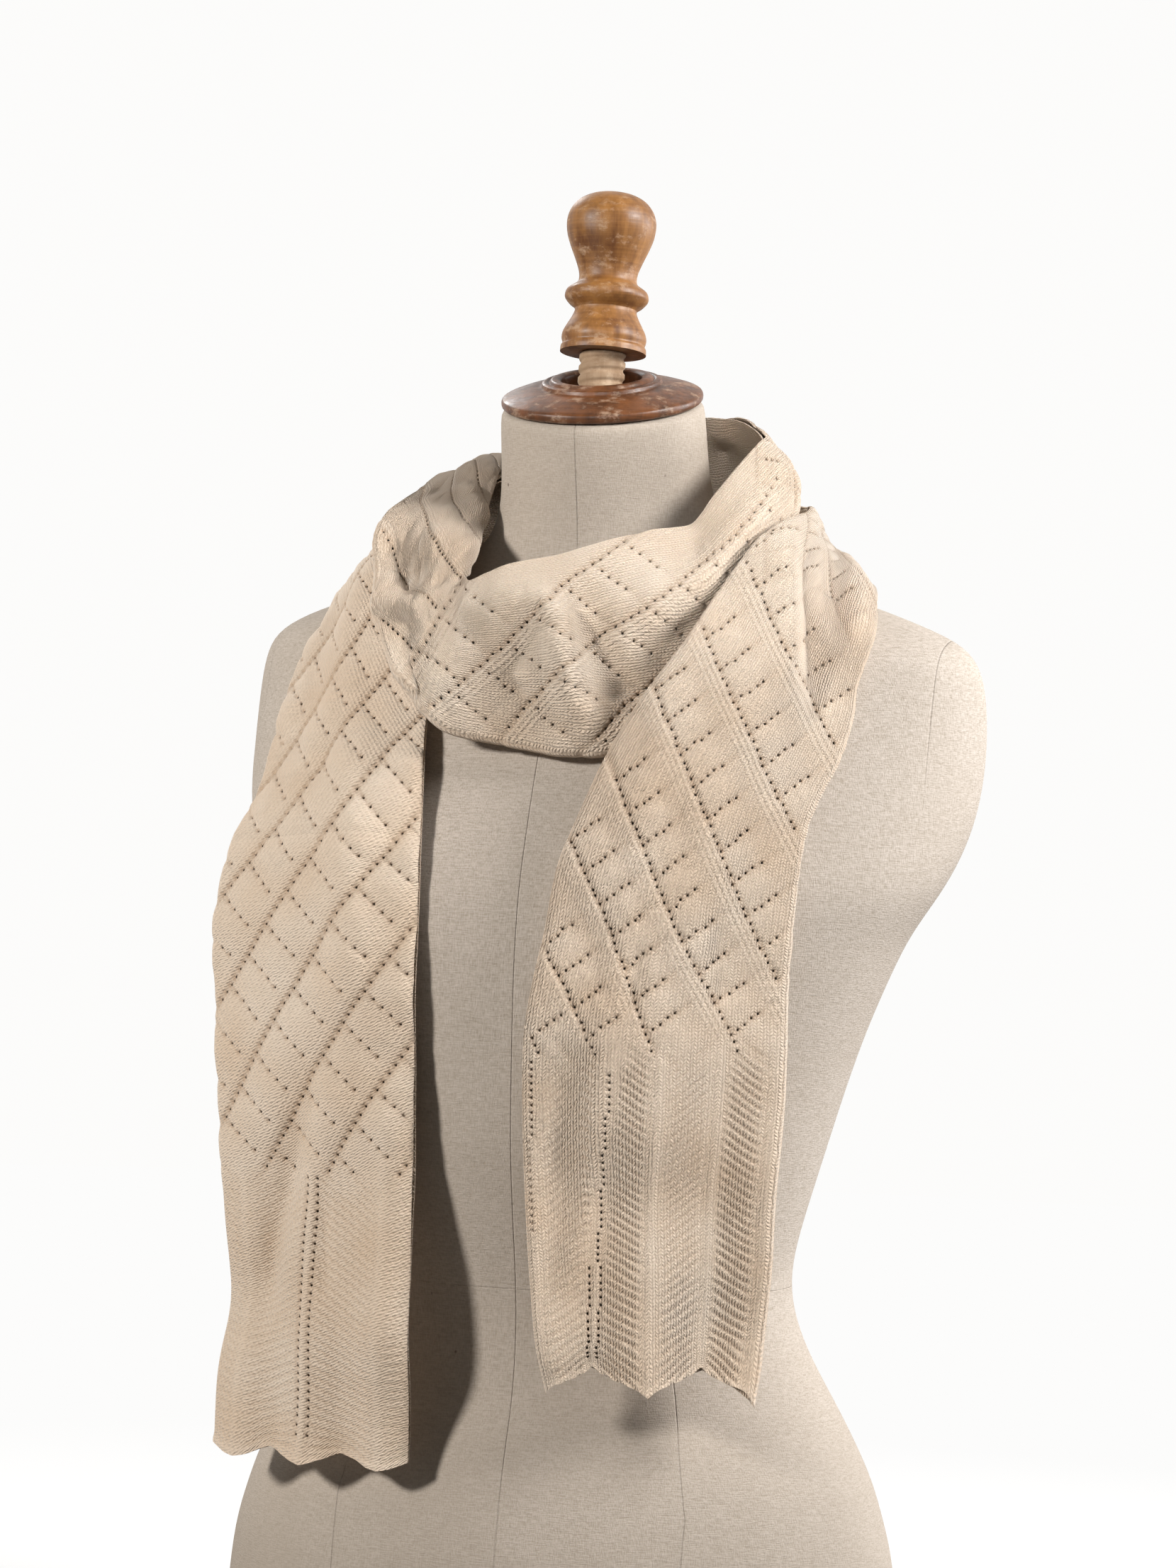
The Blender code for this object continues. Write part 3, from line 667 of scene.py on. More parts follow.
def knit_finish(name, wrong_side):
    """Fuzzy cashmere: each stitch is two slanting legs, or a low bead on the wrong side."""
    material, shader, place = new_finish(name)
    stitch = output_of(place.tree, "ShaderNodeUVMap", "UV", uv_map="knit")
    across = cloud(place, 300.0) * 0.5 + stitch.part("X")
    along = cloud(place, 270.0) * 0.7 + stitch.part("Y")
    if wrong_side:
        beads = ((along * 0.5 + across) * TURN).maths("SINE")
        rows = (along * TURN).maths("SINE")
        relief = beads * rows * 0.30 + rows * 0.10 + 0.42
    else:
        middle = (across.maths("FRACT") * 2.0 - 1.0).maths("ABSOLUTE")
        leg = (middle * math.pi).maths("SINE")
        loop = ((middle * 0.8 + along).maths("FRACT") * math.pi).maths("SINE")
        relief = leg * (loop * 0.62 + 0.25)
    relief = cloud(place, 1300.0, 3.0, 0.8) * 0.75 + relief - 0.10
    rise, ribs, count = (output_of(place.tree, "ShaderNodeAttribute", "Fac", attribute_name=label)
                         for label in KNIT_FIELDS)
    relief = (count * TURN).maths("COSINE") * ribs * 0.325 + relief
    pale = blend_colours(cloud(place, 22.0).spread(0.3, 0.7), *YARN_RAISED)
    # Painted shade: the yarn's colour darkens towards its hollow colour where the stitches, the
    # lattice's grooves and the rings round eyelets sink
    height = rise.spread(-0.6, 0.45) * 0.55 + relief.spread(0.0, 0.95) * 0.62 + 0.09
    colour = blend_colours(height.maths("MINIMUM", 1.0), YARN_HOLLOW_SHADE, pale)
    fill(shader, {"Base Color": colour, "Roughness": 0.95, "Specular IOR Level": 0.15,
                  "Sheen Weight": 0.55, "Sheen Roughness": 0.4, "Sheen Tint": YARN_SHEEN,
                  "Normal": raised(relief, 0.0011)})
    return material


def seam_mask(gap, half_width=SEAM_WIDTH):
    """One on a line and none beyond its half width."""
    return gap.maths("ABSOLUTE").spread(0.0, half_width, 1.0, 0.0)


def linen_finish():
    """Unbleached linen over a hard padded form: fine weave, seams, pin holes, faint blotches, darker
    low and at the neck.
    """
    material, shader, place = new_finish("linen_cover")
    side = place.part("X").maths("ABSOLUTE")
    z = place.part("Z")
    threads_up = cloud(place, (1900.0, 1900.0, 330.0), 1.0)
    threads_across = cloud(place, (260.0, 260.0, 1900.0), 1.0)
    slubs = cloud(place, (60.0, 60.0, 1100.0), 2.0)
    weave = slubs * 0.25 + threads_up + threads_across
    base = blend_colours(cloud(place, 5.0, 4.0, 0.6).spread(0.3, 0.7), *LINEN_CLEAN)
    # Darker towards the bottom, and from the shoulders up to the neck
    darkened = z.spread(0.02, 0.20, 0.72, 1.0).maths("MINIMUM", z.spread(0.52, 0.60, 1.0, 0.75))
    base = blend_colours(darkened, LINEN_DARKENED, base)
    colour = blend_colours(weave.spread(0.75, 1.40), LINEN_GAPS, base)
    princess = z.spread(0.09, 0.25, 0.090, 0.058) + z.spread(0.25, 0.45, 0.0, 0.022)
    armhole = seam_mask(side - ARMHOLE_SEAM) * z.spread(0.44, 0.49)
    waist = seam_mask(z - WAIST_SEAM, 0.8 * SEAM_WIDTH) * 0.5
    seams = seam_mask(side)
    for seam in (seam_mask(side - princess), armhole, waist):
        seams = seams.maths("MAXIMUM", seam)
    stitches = (z * 2400.0).maths("SINE").spread(-0.2, 0.5)
    pins = output_of(place.tree, "ShaderNodeTexVoronoi", "Distance",
                     {"Vector": place, "Scale": 24.0, "Randomness": 1.0})
    dark = seams * (stitches * 0.13 + 0.03)
    dark = dark.maths("MAXIMUM", pins.spread(0.018, 0.03, 0.75, 0.0))
    colour = blend_colours(dark, colour, LINEN_PINS)
    fill(shader, {"Base Color": colour, "Roughness": 0.88, "Specular IOR Level": 0.25,
                  "Normal": raised(weave * 0.5 - seams, 0.0004)})
    return material


def wood_finish(name):
    """Turned wood: long grain along its axis, fine tool lines round it, and worn patches."""
    dark, light, roughness, scale, turned_lines = WOODS[name]
    material, shader, place = new_finish(name)
    grain = cloud(place, (scale, scale, scale * 0.10), 5.0, 0.65)
    rings = cloud(place, (12.0, 12.0, turned_lines), 3.0, 0.7)
    wear = cloud(place, (90.0, 90.0, 150.0), 6.0, 0.72)
    tone = rings * 0.22 + grain * 0.40 + cloud(place, 42.0, 4.0, 0.6) * 0.38
    colour = blend_colours(tone.spread(0.38, 0.62), dark, light)
    worn = [0.4 * a + 0.6 * b for a, b in zip(light, WORN_WOOD)]
    colour = blend_colours(wear.spread(0.53, 0.66) * WOOD_WEAR, colour, worn)
    fill(shader, {"Base Color": colour, "Normal": raised(tone, 0.0004),
                  "Roughness": wear.spread(0.35, 0.75, roughness, min(roughness + 0.3, 1.0))})
    return material


# Dress form

def build_cover(node):
    """The form's cover: its solid rounded between its flats, with firm edges kept."""
    cover = link_new("form_cover", node.data.copy())
    pick_only(cover)
    bpy.ops.object.mode_set(mode="EDIT")
    bpy.ops.mesh.select_all(action="SELECT")
    bpy.ops.mesh.remove_doubles(threshold=1e-6)
    bpy.ops.mesh.normals_make_consistent(inside=False)
    bpy.ops.mesh.tris_convert_to_quads(face_threshold=math.radians(20),
                                       shape_threshold=math.radians(60))
    bpy.ops.mesh.select_all(action="DESELECT")
    bpy.ops.mesh.select_mode(type="EDGE")
    bpy.ops.mesh.edges_select_sharp(sharpness=math.radians(50))
    bpy.ops.transform.edge_crease(value=0.9)
    bpy.ops.object.mode_set(mode="OBJECT")
    rounding = cover.modifiers.new("rounding", "SUBSURF")
    rounding.levels = 2
    rounding.render_levels = 2
    bpy.ops.object.modifier_apply(modifier="rounding")
    bpy.ops.object.shade_smooth_by_angle(angle=math.radians(40))
    cover.data.materials.clear()
    cover.data.materials.append(linen_finish())
    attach(cover, "form")
    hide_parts("torso")
    return cover


def turned_piece(name, profile, centre, tilt, closed):
    """Spin a smooth outline through a profile's radii and heights round a leaning axis."""
    places = np.arange((len(profile) - 1) * OUTLINE_STEPS + 1) / OUTLINE_STEPS
    outline = spline_rows(np.array(profile) * MM, places, False).tolist()
    turn = leaning(tilt)
    axis = turn @ Vector((0.0, 0.0, 1.0))
    points = [centre + turn @ Vector((radius, 0.0, height)) for radius, height in outline]
    if not closed:
        points.insert(0, centre + axis * outline[0][1])
        points.append(centre + axis * outline[-1][1])
    edges = [(index, index + 1) for index in range(len(points) - 1)]
    if closed:
        edges.append((len(points) - 1, 0))
    piece = add_mesh(name, [tuple(point) for point in points], edges, [])
    pick_only(piece)
    bpy.ops.object.mode_set(mode="EDIT")
    bpy.ops.mesh.select_all(action="SELECT")
    bpy.ops.mesh.spin(steps=TURNING_STEPS, angle=TURN, center=centre, axis=axis)
    bpy.ops.mesh.select_all(action="SELECT")
    bpy.ops.mesh.remove_doubles(threshold=2e-6)
    bpy.ops.mesh.normals_make_consistent(inside=False)
    bpy.ops.object.mode_set(mode="OBJECT")
    bpy.ops.object.shade_smooth_by_angle(angle=math.radians(35))
    return piece


def build_cap():
    base = NECK_TOP + leaning(NECK_TILT) @ Vector((0.0, 0.0, TOUCH_GAP))
    cap = turned_piece("turned_cap", CAP_PROFILE, base, NECK_TILT, True)
    cap.data.materials.append(wood_finish("dark_red_wood"))
    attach(cap, "form")
    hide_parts("neck_cap")


def build_knob():
    knob = turned_piece("turned_knob", KNOB_PROFILE, FINIAL_BASE, FINIAL_TILT, False)
    knob.data.materials.append(wood_finish("amber_varnish"))
    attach(knob, "knob")
    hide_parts("finial_knob")


def build_screw():
    """Wooden screw with one rounded thread that winds round it."""
    lead_top = SCREW_LEAD - SCREW_DEPTH
    levels = np.concatenate([[-SCREW_DEPTH], np.arange(lead_top, -TOUCH_GAP,
                                                       SCREW_PITCH / SCREW_LEVELS), [-TOUCH_GAP]])
    turns = np.arange(SCREW_SIDES) / SCREW_SIDES
    angles = TURN * turns
    tooth = 0.5 + 0.5 * np.cos(TURN * (levels[:, None] / SCREW_PITCH - turns))
    fade = np.clip((levels - lead_top) / (0.5 * SCREW_PITCH), 0.0, 1.0)[:, None]
    radius = SCREW_RADIUS - SCREW_THREAD_DEPTH * (1.0 - np.minimum(1.6 * tooth, 1.0) * fade)
    spokes = np.stack([radius * np.cos(angles), radius * np.sin(angles),
                       np.broadcast_to(levels[:, None], radius.shape)], axis=-1).reshape(-1, 3)
    points = spokes @ np.array(leaning(FINIAL_TILT)).T + np.array(FINIAL_BASE)
    sides = list(range(SCREW_SIDES))
    faces = [(low + step, low + (step + 1) % SCREW_SIDES,
              low + SCREW_SIDES + (step + 1) % SCREW_SIDES, low + SCREW_SIDES + step)
             for low in range(0, len(points) - SCREW_SIDES, SCREW_SIDES) for step in sides]
    faces += [sides[::-1], [len(points) - SCREW_SIDES + step for step in sides]]
    screw = add_mesh("threaded_screw", points.tolist(), [], faces)
    pick_only(screw)
    bpy.ops.object.shade_smooth_by_angle(angle=math.radians(50))
    screw.data.materials.append(wood_finish("bare_pale_wood"))
    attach(screw, "screw")
    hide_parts("finial_screw")


# Folded cloth

def grid_faces(rings, columns):
    ring, column = np.meshgrid(np.arange(rings - 1), np.arange(columns - 1), indexing="ij")
    corner = ring * columns + column
    return np.stack([corner, corner + columns, corner + columns + 1, corner + 1], axis=-1)


def folded_wall(outer, back, facing, side, turns, picks, thickness):
    """Points of a wall folded over at its last column, outside then inside, and its directions."""
    back = back[:, picks]
    spread_apart = outer[:, -1:] - back[:, :1]
    turns = np.radians(turns)[:, None]
    bends = unit(spread_apart) * np.cos(turns) + side[:, None] * np.sin(turns)
    reach = 0.5 * np.linalg.norm(spread_apart, axis=2, keepdims=True)
    centre = 0.5 * (outer[:, -1:] + back[:, :1])
    path = np.concatenate([outer, centre + bends * reach, back], axis=1)
    directions = np.concatenate([facing, bends, -facing[:, picks]], axis=1)
    half = directions * 0.5 * thickness
    points = np.concatenate([(path + half).reshape(-1, 3), (path - half).reshape(-1, 3)])
    return points, directions


def wall_faces(rings, columns, open_cells):
    """Faces of a wall's two skins, its long edges and its ends, but none over its open cells."""
    skin = rings * columns
    quads = grid_faces(rings, columns)[~open_cells]
    faces = [quads, quads[:, ::-1] + skin]
    along = np.arange(rings - 1) * columns
    across = np.arange(columns - 1)
    for low, step, flip in ((along, columns, False), (along + columns - 1, columns, True),
                            (across, 1, True), (across + skin - columns, 1, False)):
        edge = np.stack([low, low + skin, low + step + skin, low + step], axis=-1)
        faces.append(edge[:, ::-1] if flip else edge)
    return np.concatenate(faces)


# Scarf: the coarse band, as its solids are laid

def scarf_sections():
    """Neck edge, free edge and crown of every ring, and each stretch's first and last ring."""
    rows = np.array([row for stretch in STRETCHES.values() for row in stretch.sections])
    steps = np.diff(run_lengths(0.5 * (rows[:, 0:3] + rows[:, 3:6]) * MM))
    places = [0.0]
    spans = {}
    start = 0
    for name, stretch in STRETCHES.items():
        first = len(places) - 1
        end = min(start + len(stretch.sections), len(rows) - 1)
        for row in range(start, end):
            count = max(1, round(steps[row] / stretch.spacing))
            places += [row + (step + 1) / count for step in range(count)]
        spans[name] = (first, len(places) - 1)
        start = end
    turn = Matrix.Rotation(DRAPE_TURN, 3, "Z")
    sections = [(turn @ (Vector(row[0:3]) * MM), turn @ (Vector(row[3:6]) * MM), row[6] * MM)
                for row in spline_rows(rows, np.array(places), False)]
    return sections, spans


def fold_rise(folds, place, length, width):
    """Height that a stretch's folds add at a place, given in metres along and across it."""
    total = 0.0
    for from_along, from_across, to_along, to_across, half_width, rise in folds:
        start = Vector((from_along * length, from_across * width))
        run = Vector((to_along * length, to_across * width)) - start
        share = min(max((place - start).dot(run) / run.length_squared, 0.0), 1.0)
        gap = (place - start - run * share).length / (half_width * MM)
        total += rise * MM * math.exp(-gap * gap)
    return total


def hem_wave(hem, column):
    """One at a scalloped hem's points and minus one between them."""
    return math.cos(TURN * (column - hem["first"]) / hem["period"])


def hem_ripple(hem, column, distance):
    """Soft waves above a scalloped hem, in step with its points."""
    share = max(1.0 - distance / hem["zone"], 0.0)
    return hem["ripple"] * hem_wave(hem, column) * share ** 0.7


def scarf_grid(sections, spans):
    """Middle surface of the folded scarf, as rings of points across it, before it settles."""
    middles = [(neck + free) * 0.5 for neck, free, _ in sections]
    lengths = [0.0]
    for a, b in zip(middles, middles[1:]):
        lengths.append(lengths[-1] + (b - a).length)
    last = len(sections) - 1
    grid = []
    for ring, (neck, free, crown) in enumerate(sections):
        along = middles[min(ring + 1, last)] - middles[max(ring - 1, 0)]
        out = along.cross(free - neck).normalized()
        width = (free - neck).length
        line = []
        for column in range(SCARF_COLUMNS + 1):
            across = column / SCARF_COLUMNS
            rise = crown * 4.0 * across * (1.0 - across)
            rise += hem_ripple(HEMS["left"], column, lengths[ring])
            rise += hem_ripple(HEMS["right"], column, lengths[-1] - lengths[ring])
            for name, (start, end) in spans.items():
                place = Vector((lengths[ring] - lengths[start], across * width))
                rise += fold_rise(FOLDS[name], place, lengths[end] - lengths[start], width)
            line.append(neck.lerp(free, across) + out * rise)
        grid.append(line)
    for hem, end, inner in ((HEMS["left"], 0, 1), (HEMS["right"], last, last - 1)):
        for column in range(SCARF_COLUMNS + 1):
            outward = (grid[end][column] - grid[inner][column]).normalized()
            grid[end][column] += outward * 0.5 * hem["depth"] * hem_wave(hem, column)
    return grid


def grid_normals(grid):
    """Outward direction at each point of the rings."""
    normals = []
    for ring, line in enumerate(grid):
        before = grid[max(ring - 1, 0)]
        after = grid[min(ring + 1, len(grid) - 1)]
        normals.append([])
        for column in range(len(line)):
            along = after[column] - before[column]
            across = line[min(column + 1, len(line) - 1)] - line[max(column - 1, 0)]
            normals[ring].append(along.cross(across).normalized())
    return normals


def move_off_form(form, point, clear):
    """Shortest move that takes a point clear of the form."""
    place, face_normal, _, distance = form.find_nearest(point)
    side = 1.0 if (point - place).dot(face_normal) > 0.0 else -1.0
    if side * distance >= clear:
        return Vector()
    return (point - place).normalized() * side * (clear - side * distance)


def rise_over(surface, point, normal, clear):
    """How far a point has to rise along its sheet's normal to lie clear of a surface under it."""
    place, facing, _, _ = surface.ray_cast(point + normal * SETTLE_REACH, -normal,
                                           SETTLE_REACH + clear)
    if place is None or facing.dot(normal) <= 0.0:
        return 0.0
    return max((place - point).dot(normal) + clear, 0.0)


def move_off_cloth(cloth, point, normal, clear):
    """Move along the sheet's normal that takes a point clear of cloth under and beside it."""
    move = rise_over(cloth, point, normal, clear)
    place, _, _, distance = cloth.find_nearest(point + normal * move, clear)
    if place is not None:
        side = (point + normal * move - place).dot(normal)
        move += math.sqrt(side * side + clear * clear - distance * distance) - side
    return normal * move


def longest(moves):
    return max(moves, key=lambda move: move.length_squared)


def near_by(moves, ring, column):
    """The moves at and around a place."""
    return [moves[r, c] for r in (ring - 1, ring, ring + 1)
            for c in (column - 1, column, column + 1) if (r, c) in moves]


def settle(grid, first, last, fixed, form, cloths):
    """Move rings clear of what they lie on, spreading each move to the places around it."""
    clear = LAYER_OFFSET + 0.5 * LAYER_THICKNESS + REST_GAP
    normals = grid_normals(grid)
    moves = {(ring, column): Vector() for ring in range(first, last + 1)
             for column in range(SCARF_COLUMNS + 1)}
    for ring, column in list(moves):
        for down, right in ((0, 0), (0, 1), (1, 0), (1, 1)):
            corners = {(ring, column), (ring + down, column), (ring, column + right),
                       (ring + down, column + right)}
            if not corners <= moves.keys():
                continue
            point = sum((grid[r][c] for r, c in corners), Vector()) / len(corners)
            normal = sum((normals[r][c] for r, c in corners), Vector()).normalized()
            move = move_off_form(form, point, clear)
            for cloth in cloths:
                move += move_off_cloth(cloth, point + move, normal, clear)
            for corner in corners:
                moves[corner] = longest([moves[corner], move])
    widest = {place: longest(near_by(moves, *place)) for place in moves}
    for ring, column in moves:
        if ring > fixed:
            near = near_by(widest, ring, column)
            grid[ring][column] += sum(near, Vector()) / len(near)


def wall_section(line, normals):
    """Points of the folded cloth across one ring, outside and then inside."""
    outline = []
    outward = (line[-1] - line[-2]).normalized()
    for reach in (LAYER_OFFSET + 0.5 * LAYER_THICKNESS, LAYER_OFFSET - 0.5 * LAYER_THICKNESS):
        outline += [point + normal * reach for point, normal in zip(line, normals)]
        for angle in COARSE_TURNS:
            turn = math.radians(angle)
            bend = normals[-1] * math.cos(turn) + outward * math.sin(turn)
            outline.append(line[-1] + bend * reach)
        outline += [point - normal * reach for point, normal in zip(line, normals)][::-1]
    return outline


def trimmed_ring(grid, ring, trim):
    """A ring moved along the cloth, so that neighbouring stretches stay apart at their seam."""
    return [point + (after - before).normalized() * trim
            for before, point, after in zip(grid[ring - 1], grid[ring], grid[ring + 1])]


def coarse_tree(grid, first, last):
    """Searchable wall of one stretch of cloth, folded double round its free edge."""
    lines = grid[first:last + 1]
    if first > 0:
        lines[0] = trimmed_ring(grid, first, 0.5 * SEAM_GAP)
    if last < len(grid) - 1:
        lines[-1] = trimmed_ring(grid, last, -0.5 * SEAM_GAP)
    points = []
    for line, normals in zip(lines, grid_normals(grid)[first:last + 1]):
        points += wall_section(line, normals)
    steps = len(points) // len(lines) // 2
    top = len(points) - 2 * steps
    faces = []
    for low in range(0, top, 2 * steps):
        high = low + 2 * steps
        for step in range(steps - 1):
            faces.append((low + step, high + step, high + step + 1, low + step + 1))
            a = low + steps + step
            b = high + steps + step
            faces.append((a, a + 1, b + 1, b))
        faces.append((low, low + steps, high + steps, high))
        edge = steps - 1
        faces.append((low + edge, high + edge, high + steps + edge, low + steps + edge))
    for step in range(steps - 1):
        faces.append((step, step + 1, steps + step + 1, steps + step))
        faces.append((top + step, top + steps + step, top + steps + step + 1, top + step + 1))
    return BVHTree.FromPolygons(points, faces)


def coarse_band(form):
    """Coarse middle surface of the whole scarf, settled on the form, and its stretches' rings."""
    sections, spans = scarf_sections()
    grid = scarf_grid(sections, spans)
    final = len(grid) - 1
    cloths = []
    for first, last in spans.values():
        for _ in range(SETTLE_PASSES):
            settle(grid, max(first - 1, 0), min(last + 1, final), first if first > 0 else -1,
                   form, cloths[:-1])
        cloths.append(coarse_tree(grid, first, last))
    return np.array([[tuple(point) for point in line] for line in grid]), spans


# Scarf: the fine band

def knitted_rows(grid, spans):
    """Knitted rows from the left hem to each ring of the coarse grid."""
    steps = np.linalg.norm(np.diff(grid, axis=0), axis=2).mean(axis=1)
    for name, (first, last) in spans.items():
        steps[first:last] /= STRETCHES[name].row_height * MM
    return np.concatenate([[0.0], np.cumsum(steps)])


def photo_view(band, normals):
    """Each place in the photograph's pixels, and how squarely it faces the camera."""
    back, right, up = (np.array(axis) for axis in camera_axes())
    away = band - (np.array([0.0, 0.0, VIEW_HEIGHT]) + back * VIEW_DISTANCE)
    scale = VIEW_DISTANCE / VIEW_SCALE / -(away @ back)
    across = 0.5 * VIEW_PIXELS[0] + (away @ right) * scale
    down = 0.5 * VIEW_PIXELS[1] - (away @ up) * scale
    facing = np.clip((normals @ back + FACING_START) / FACING_SPAN, 0.0, 1.0)
    return np.stack([across, down], axis=-1), facing


def crease_rises(flat, creases):
    total = np.zeros(flat.shape[:-1])
    for line, half_width, rise in creases:
        gap, place = line_gaps(flat, np.array(line, float))
        taper = np.minimum(1.0, CREASE_END + 4.0 * place * (1.0 - place))
        total += rise * MM * taper * np.exp(-(gap / half_width) ** 2)
    return total


def hanging_share(band):
    """How freely each place hangs below the bust: none above, all well below."""
    return np.clip((WAVE_TOP - band[..., 2]) / WAVE_GROWTH, 0.0, 1.0)


def tail_waves(band):
    share = np.linspace(0.0, 1.0, band.shape[1])
    total = np.zeros(band.shape[:2])
    for length, turns, start, rise in TAIL_WAVES:
        total += rise * MM * np.sin(TURN * (band[..., 2] / length + turns * share + start))
    return total * hanging_share(band)


def clear_push(band, normals, carriers, clear):
    """How far each place of the band has to rise to lie clear of what carries it."""
    push = np.zeros(band.shape[:2])
    for place in np.ndindex(push.shape):
        point = Vector(band[place])
        normal = Vector(normals[place])
        push[place] = max(rise_over(carrier, point, normal, clear) for carrier in carriers)
    return push


def fade_ends(count, first, last, steps):
    """Share of each ring that a stretch may move: none where its neighbours carry on."""
    index = np.arange(count)
    fade = np.ones(count)
    if first > 0:
        fade = np.minimum(fade, index / FADE_RINGS)
    if last < steps:
        fade = np.minimum(fade, (count - 1 - index) / FADE_RINGS)
    return fade * fade * (3.0 - 2.0 * fade)


def fine_ring(rows, steps):
    """Ring of the fine band that begins with a pair of knitted rows, nearest to a row."""
    fine = int(round(rows * RINGS_PER_STEP / 2.0))
    return min(fine + (1 - fine) % RINGS_PER_STEP, steps)


def lay_band(grid, spans, form):
    """Fine middle surface of the whole band, with its knitted rows and each stretch's rings."""
    rows = knitted_rows(grid, spans)
    steps = int(rows[-1] * RINGS_PER_STEP / 2.0)
    ring_rows = np.linspace(0.0, rows[-1], steps + 1)
    band = spline_rows(grid, np.interp(ring_rows, rows, np.arange(len(rows))))
    band = np.swapaxes(spline_rows(np.swapaxes(band, 0, 1),
                                   np.linspace(0.0, SCARF_COLUMNS, COLUMNS + 1)), 0, 1)
    parts = {name: (fine_ring(rows[first], steps) if first else 0, fine_ring(rows[last], steps))
             for name, (first, last) in spans.items()}
    reach = LAYER_OFFSET + 0.5 * CLOTH_THICKNESS
    carriers = [form]
    for name, (first, last) in parts.items():
        high = min(last + FADE_RINGS, steps)
        part = band[first:high + 1]
        normals = band_normals(part)
        flat, facing = photo_view(part, normals)
        if name == "scarf_back_inner":
            facing = -photo_view(part, -normals)[1]
        fade = fade_ends(high - first + 1, first, last, steps)[:, None]
        rise = crease_rises(flat, CREASES.get(name, ())) * facing * fade
        part = part + normals * (rise + tail_waves(part))[..., None]
        under = carriers[:1] if len(carriers) < 3 else carriers[:-1]
        push = clear_push(part, normals, under, reach + 0.5 * REST_GAP)
        push = np.maximum(blurred(push, PUSH_SPREAD), push * PUSH_KEPT)
        part = part + normals * (blurred(push, PUSH_SMOOTHING) * fade)[..., None]
        band[first:high + 1] = part
        skin = (band[first:last + 1] + band_normals(band[first:last + 1]) * reach)[::2, ::2]
        carriers.append(search_tree(skin.reshape(-1, 3), grid_faces(*skin.shape[:2]).reshape(-1, 4)))
    sharpen_hems(band)
    return band, ring_rows, parts


def sharpen_hems(band):
    """Draw each scalloped hem's soft waves out to firm points and notches."""
    columns = np.linspace(0.0, SCARF_COLUMNS, COLUMNS + 1)
    for which, rings in (("left", np.arange(HEM_REACH)),
                         ("right", len(band) - 1 - np.arange(HEM_REACH))):
        hem = HEMS[which]
        turn = (columns - hem["first"]) / hem["period"] % 1.0
        pointed = np.abs(4.0 * turn - 2.0) - 1.0
        change = 0.5 * hem["depth"] * (pointed - np.cos(TURN * turn))
        change *= HEM_SHARPNESS[which]
        outward = unit(band[rings[0]] - band[rings[-1]])
        fade = (1.0 - np.arange(HEM_REACH) / HEM_REACH) ** 2
        band[rings] += outward * (change[:, None] * fade[:, None, None])


# Scarf: the knit

def lace_offset(columns, pairs, side, start):
    """Stitches from the last long line of eyelets, counted away from its ribs."""
    return ((columns - start - side * pairs) * side) % LACE_REPEAT


def lattice_relief(stitches, pairs, side, start):
    """Eyelets, relief and ribs of the lattice where it keeps to the knitted rows."""
    offset = lace_offset(stitches, pairs, side, LACE_START[start])
    count = (LACE_REPEAT - offset + 0.5 * LACE_REPEAT) % LACE_REPEAT - 0.5 * LACE_REPEAT
    ribs = np.exp(-((count - RIBS_MIDDLE) / RIBS_REACH) ** 4)
    ribs = ribs * (WRONG_SIDE_RIBS if start == "left" else 1.0)
    line = np.exp(-(np.minimum(offset, LACE_REPEAT - offset) / LINE_STITCHES) ** 2)
    stride = BRANCH_STRIDE[start]
    branch = (pairs - BRANCH_START[start] + offset / stride) % LACE_BRANCH_STEP
    branch = np.minimum(branch, LACE_BRANCH_STEP - branch)
    reach = np.clip((BRANCH_STITCHES[start] + 1.5 - offset) / 1.5, 0.0, 1.0)
    line = np.maximum(line, BRANCH_SHARE * np.exp(-(branch / BRANCH_PAIRS) ** 2) * reach)
    span = LACE_REPEAT - (1.0 if start == "left" else 3.5)
    puff = np.sin(math.pi * np.clip(offset / span, 0.0, 1.0))
    puff *= 0.45 + 0.55 * branch / (0.5 * LACE_BRANCH_STEP)
    relief = 0.5 * RIB_HEIGHT * ribs + PUFF_HEIGHT[start] * puff - LINE_SINK * line
    if pairs != int(pairs):
        return np.zeros(len(stitches), bool), relief, ribs, count
    step = int(BRANCH_START[start] - pairs) % LACE_BRANCH_STEP or LACE_BRANCH_STEP
    on_branch = (offset - stride * step) % (stride * LACE_BRANCH_STEP) == 0.0
    on_branch &= (offset > 0.0) & (offset <= BRANCH_STITCHES[start])
    return (offset == 0.0) | on_branch, relief, ribs, count


def hem_relief(which, stitches, distance, row_height):
    """Eyelets and relief of a hem's slanting ridges, upright lines and firm edge."""
    climb_low, climb_high = HEM_CLIMB[which]
    height = min(distance / HEM_ROWS[which], 1.0)
    turns = np.interp(stitches, *zip(*HEM_TURNS[which]))
    slant = distance * row_height - (climb_low + (climb_high - climb_low) * height) * turns
    relief = HEM_RIDGE_HEIGHT[which] * np.cos(TURN * slant / HEM_RIDGE_PITCH)
    relief *= np.clip(np.minimum(stitches, STITCHES - stitches) / HEM_SIDE, 0.0, 1.0)
    eyelets = np.zeros(len(stitches), bool)
    for low, high, first, last, reaches, rise in HEM_LINES[which]:
        middle = low + (high - low) * height
        gap = stitches - middle
        calm = np.exp(-(gap / HEM_LINE_HALF) ** 4)
        relief = relief * (1.0 - calm) + rise * calm * np.cos(math.pi * gap / HEM_LINE_PITCH) ** 2
        if first <= distance <= last:
            for reach in reaches:
                eyelets |= stitches == round(2.0 * (middle + reach)) / 2.0
    relief += HEM_BEAD * math.exp(-(distance / HEM_BEAD_ROWS) ** 2)
    return eyelets, relief


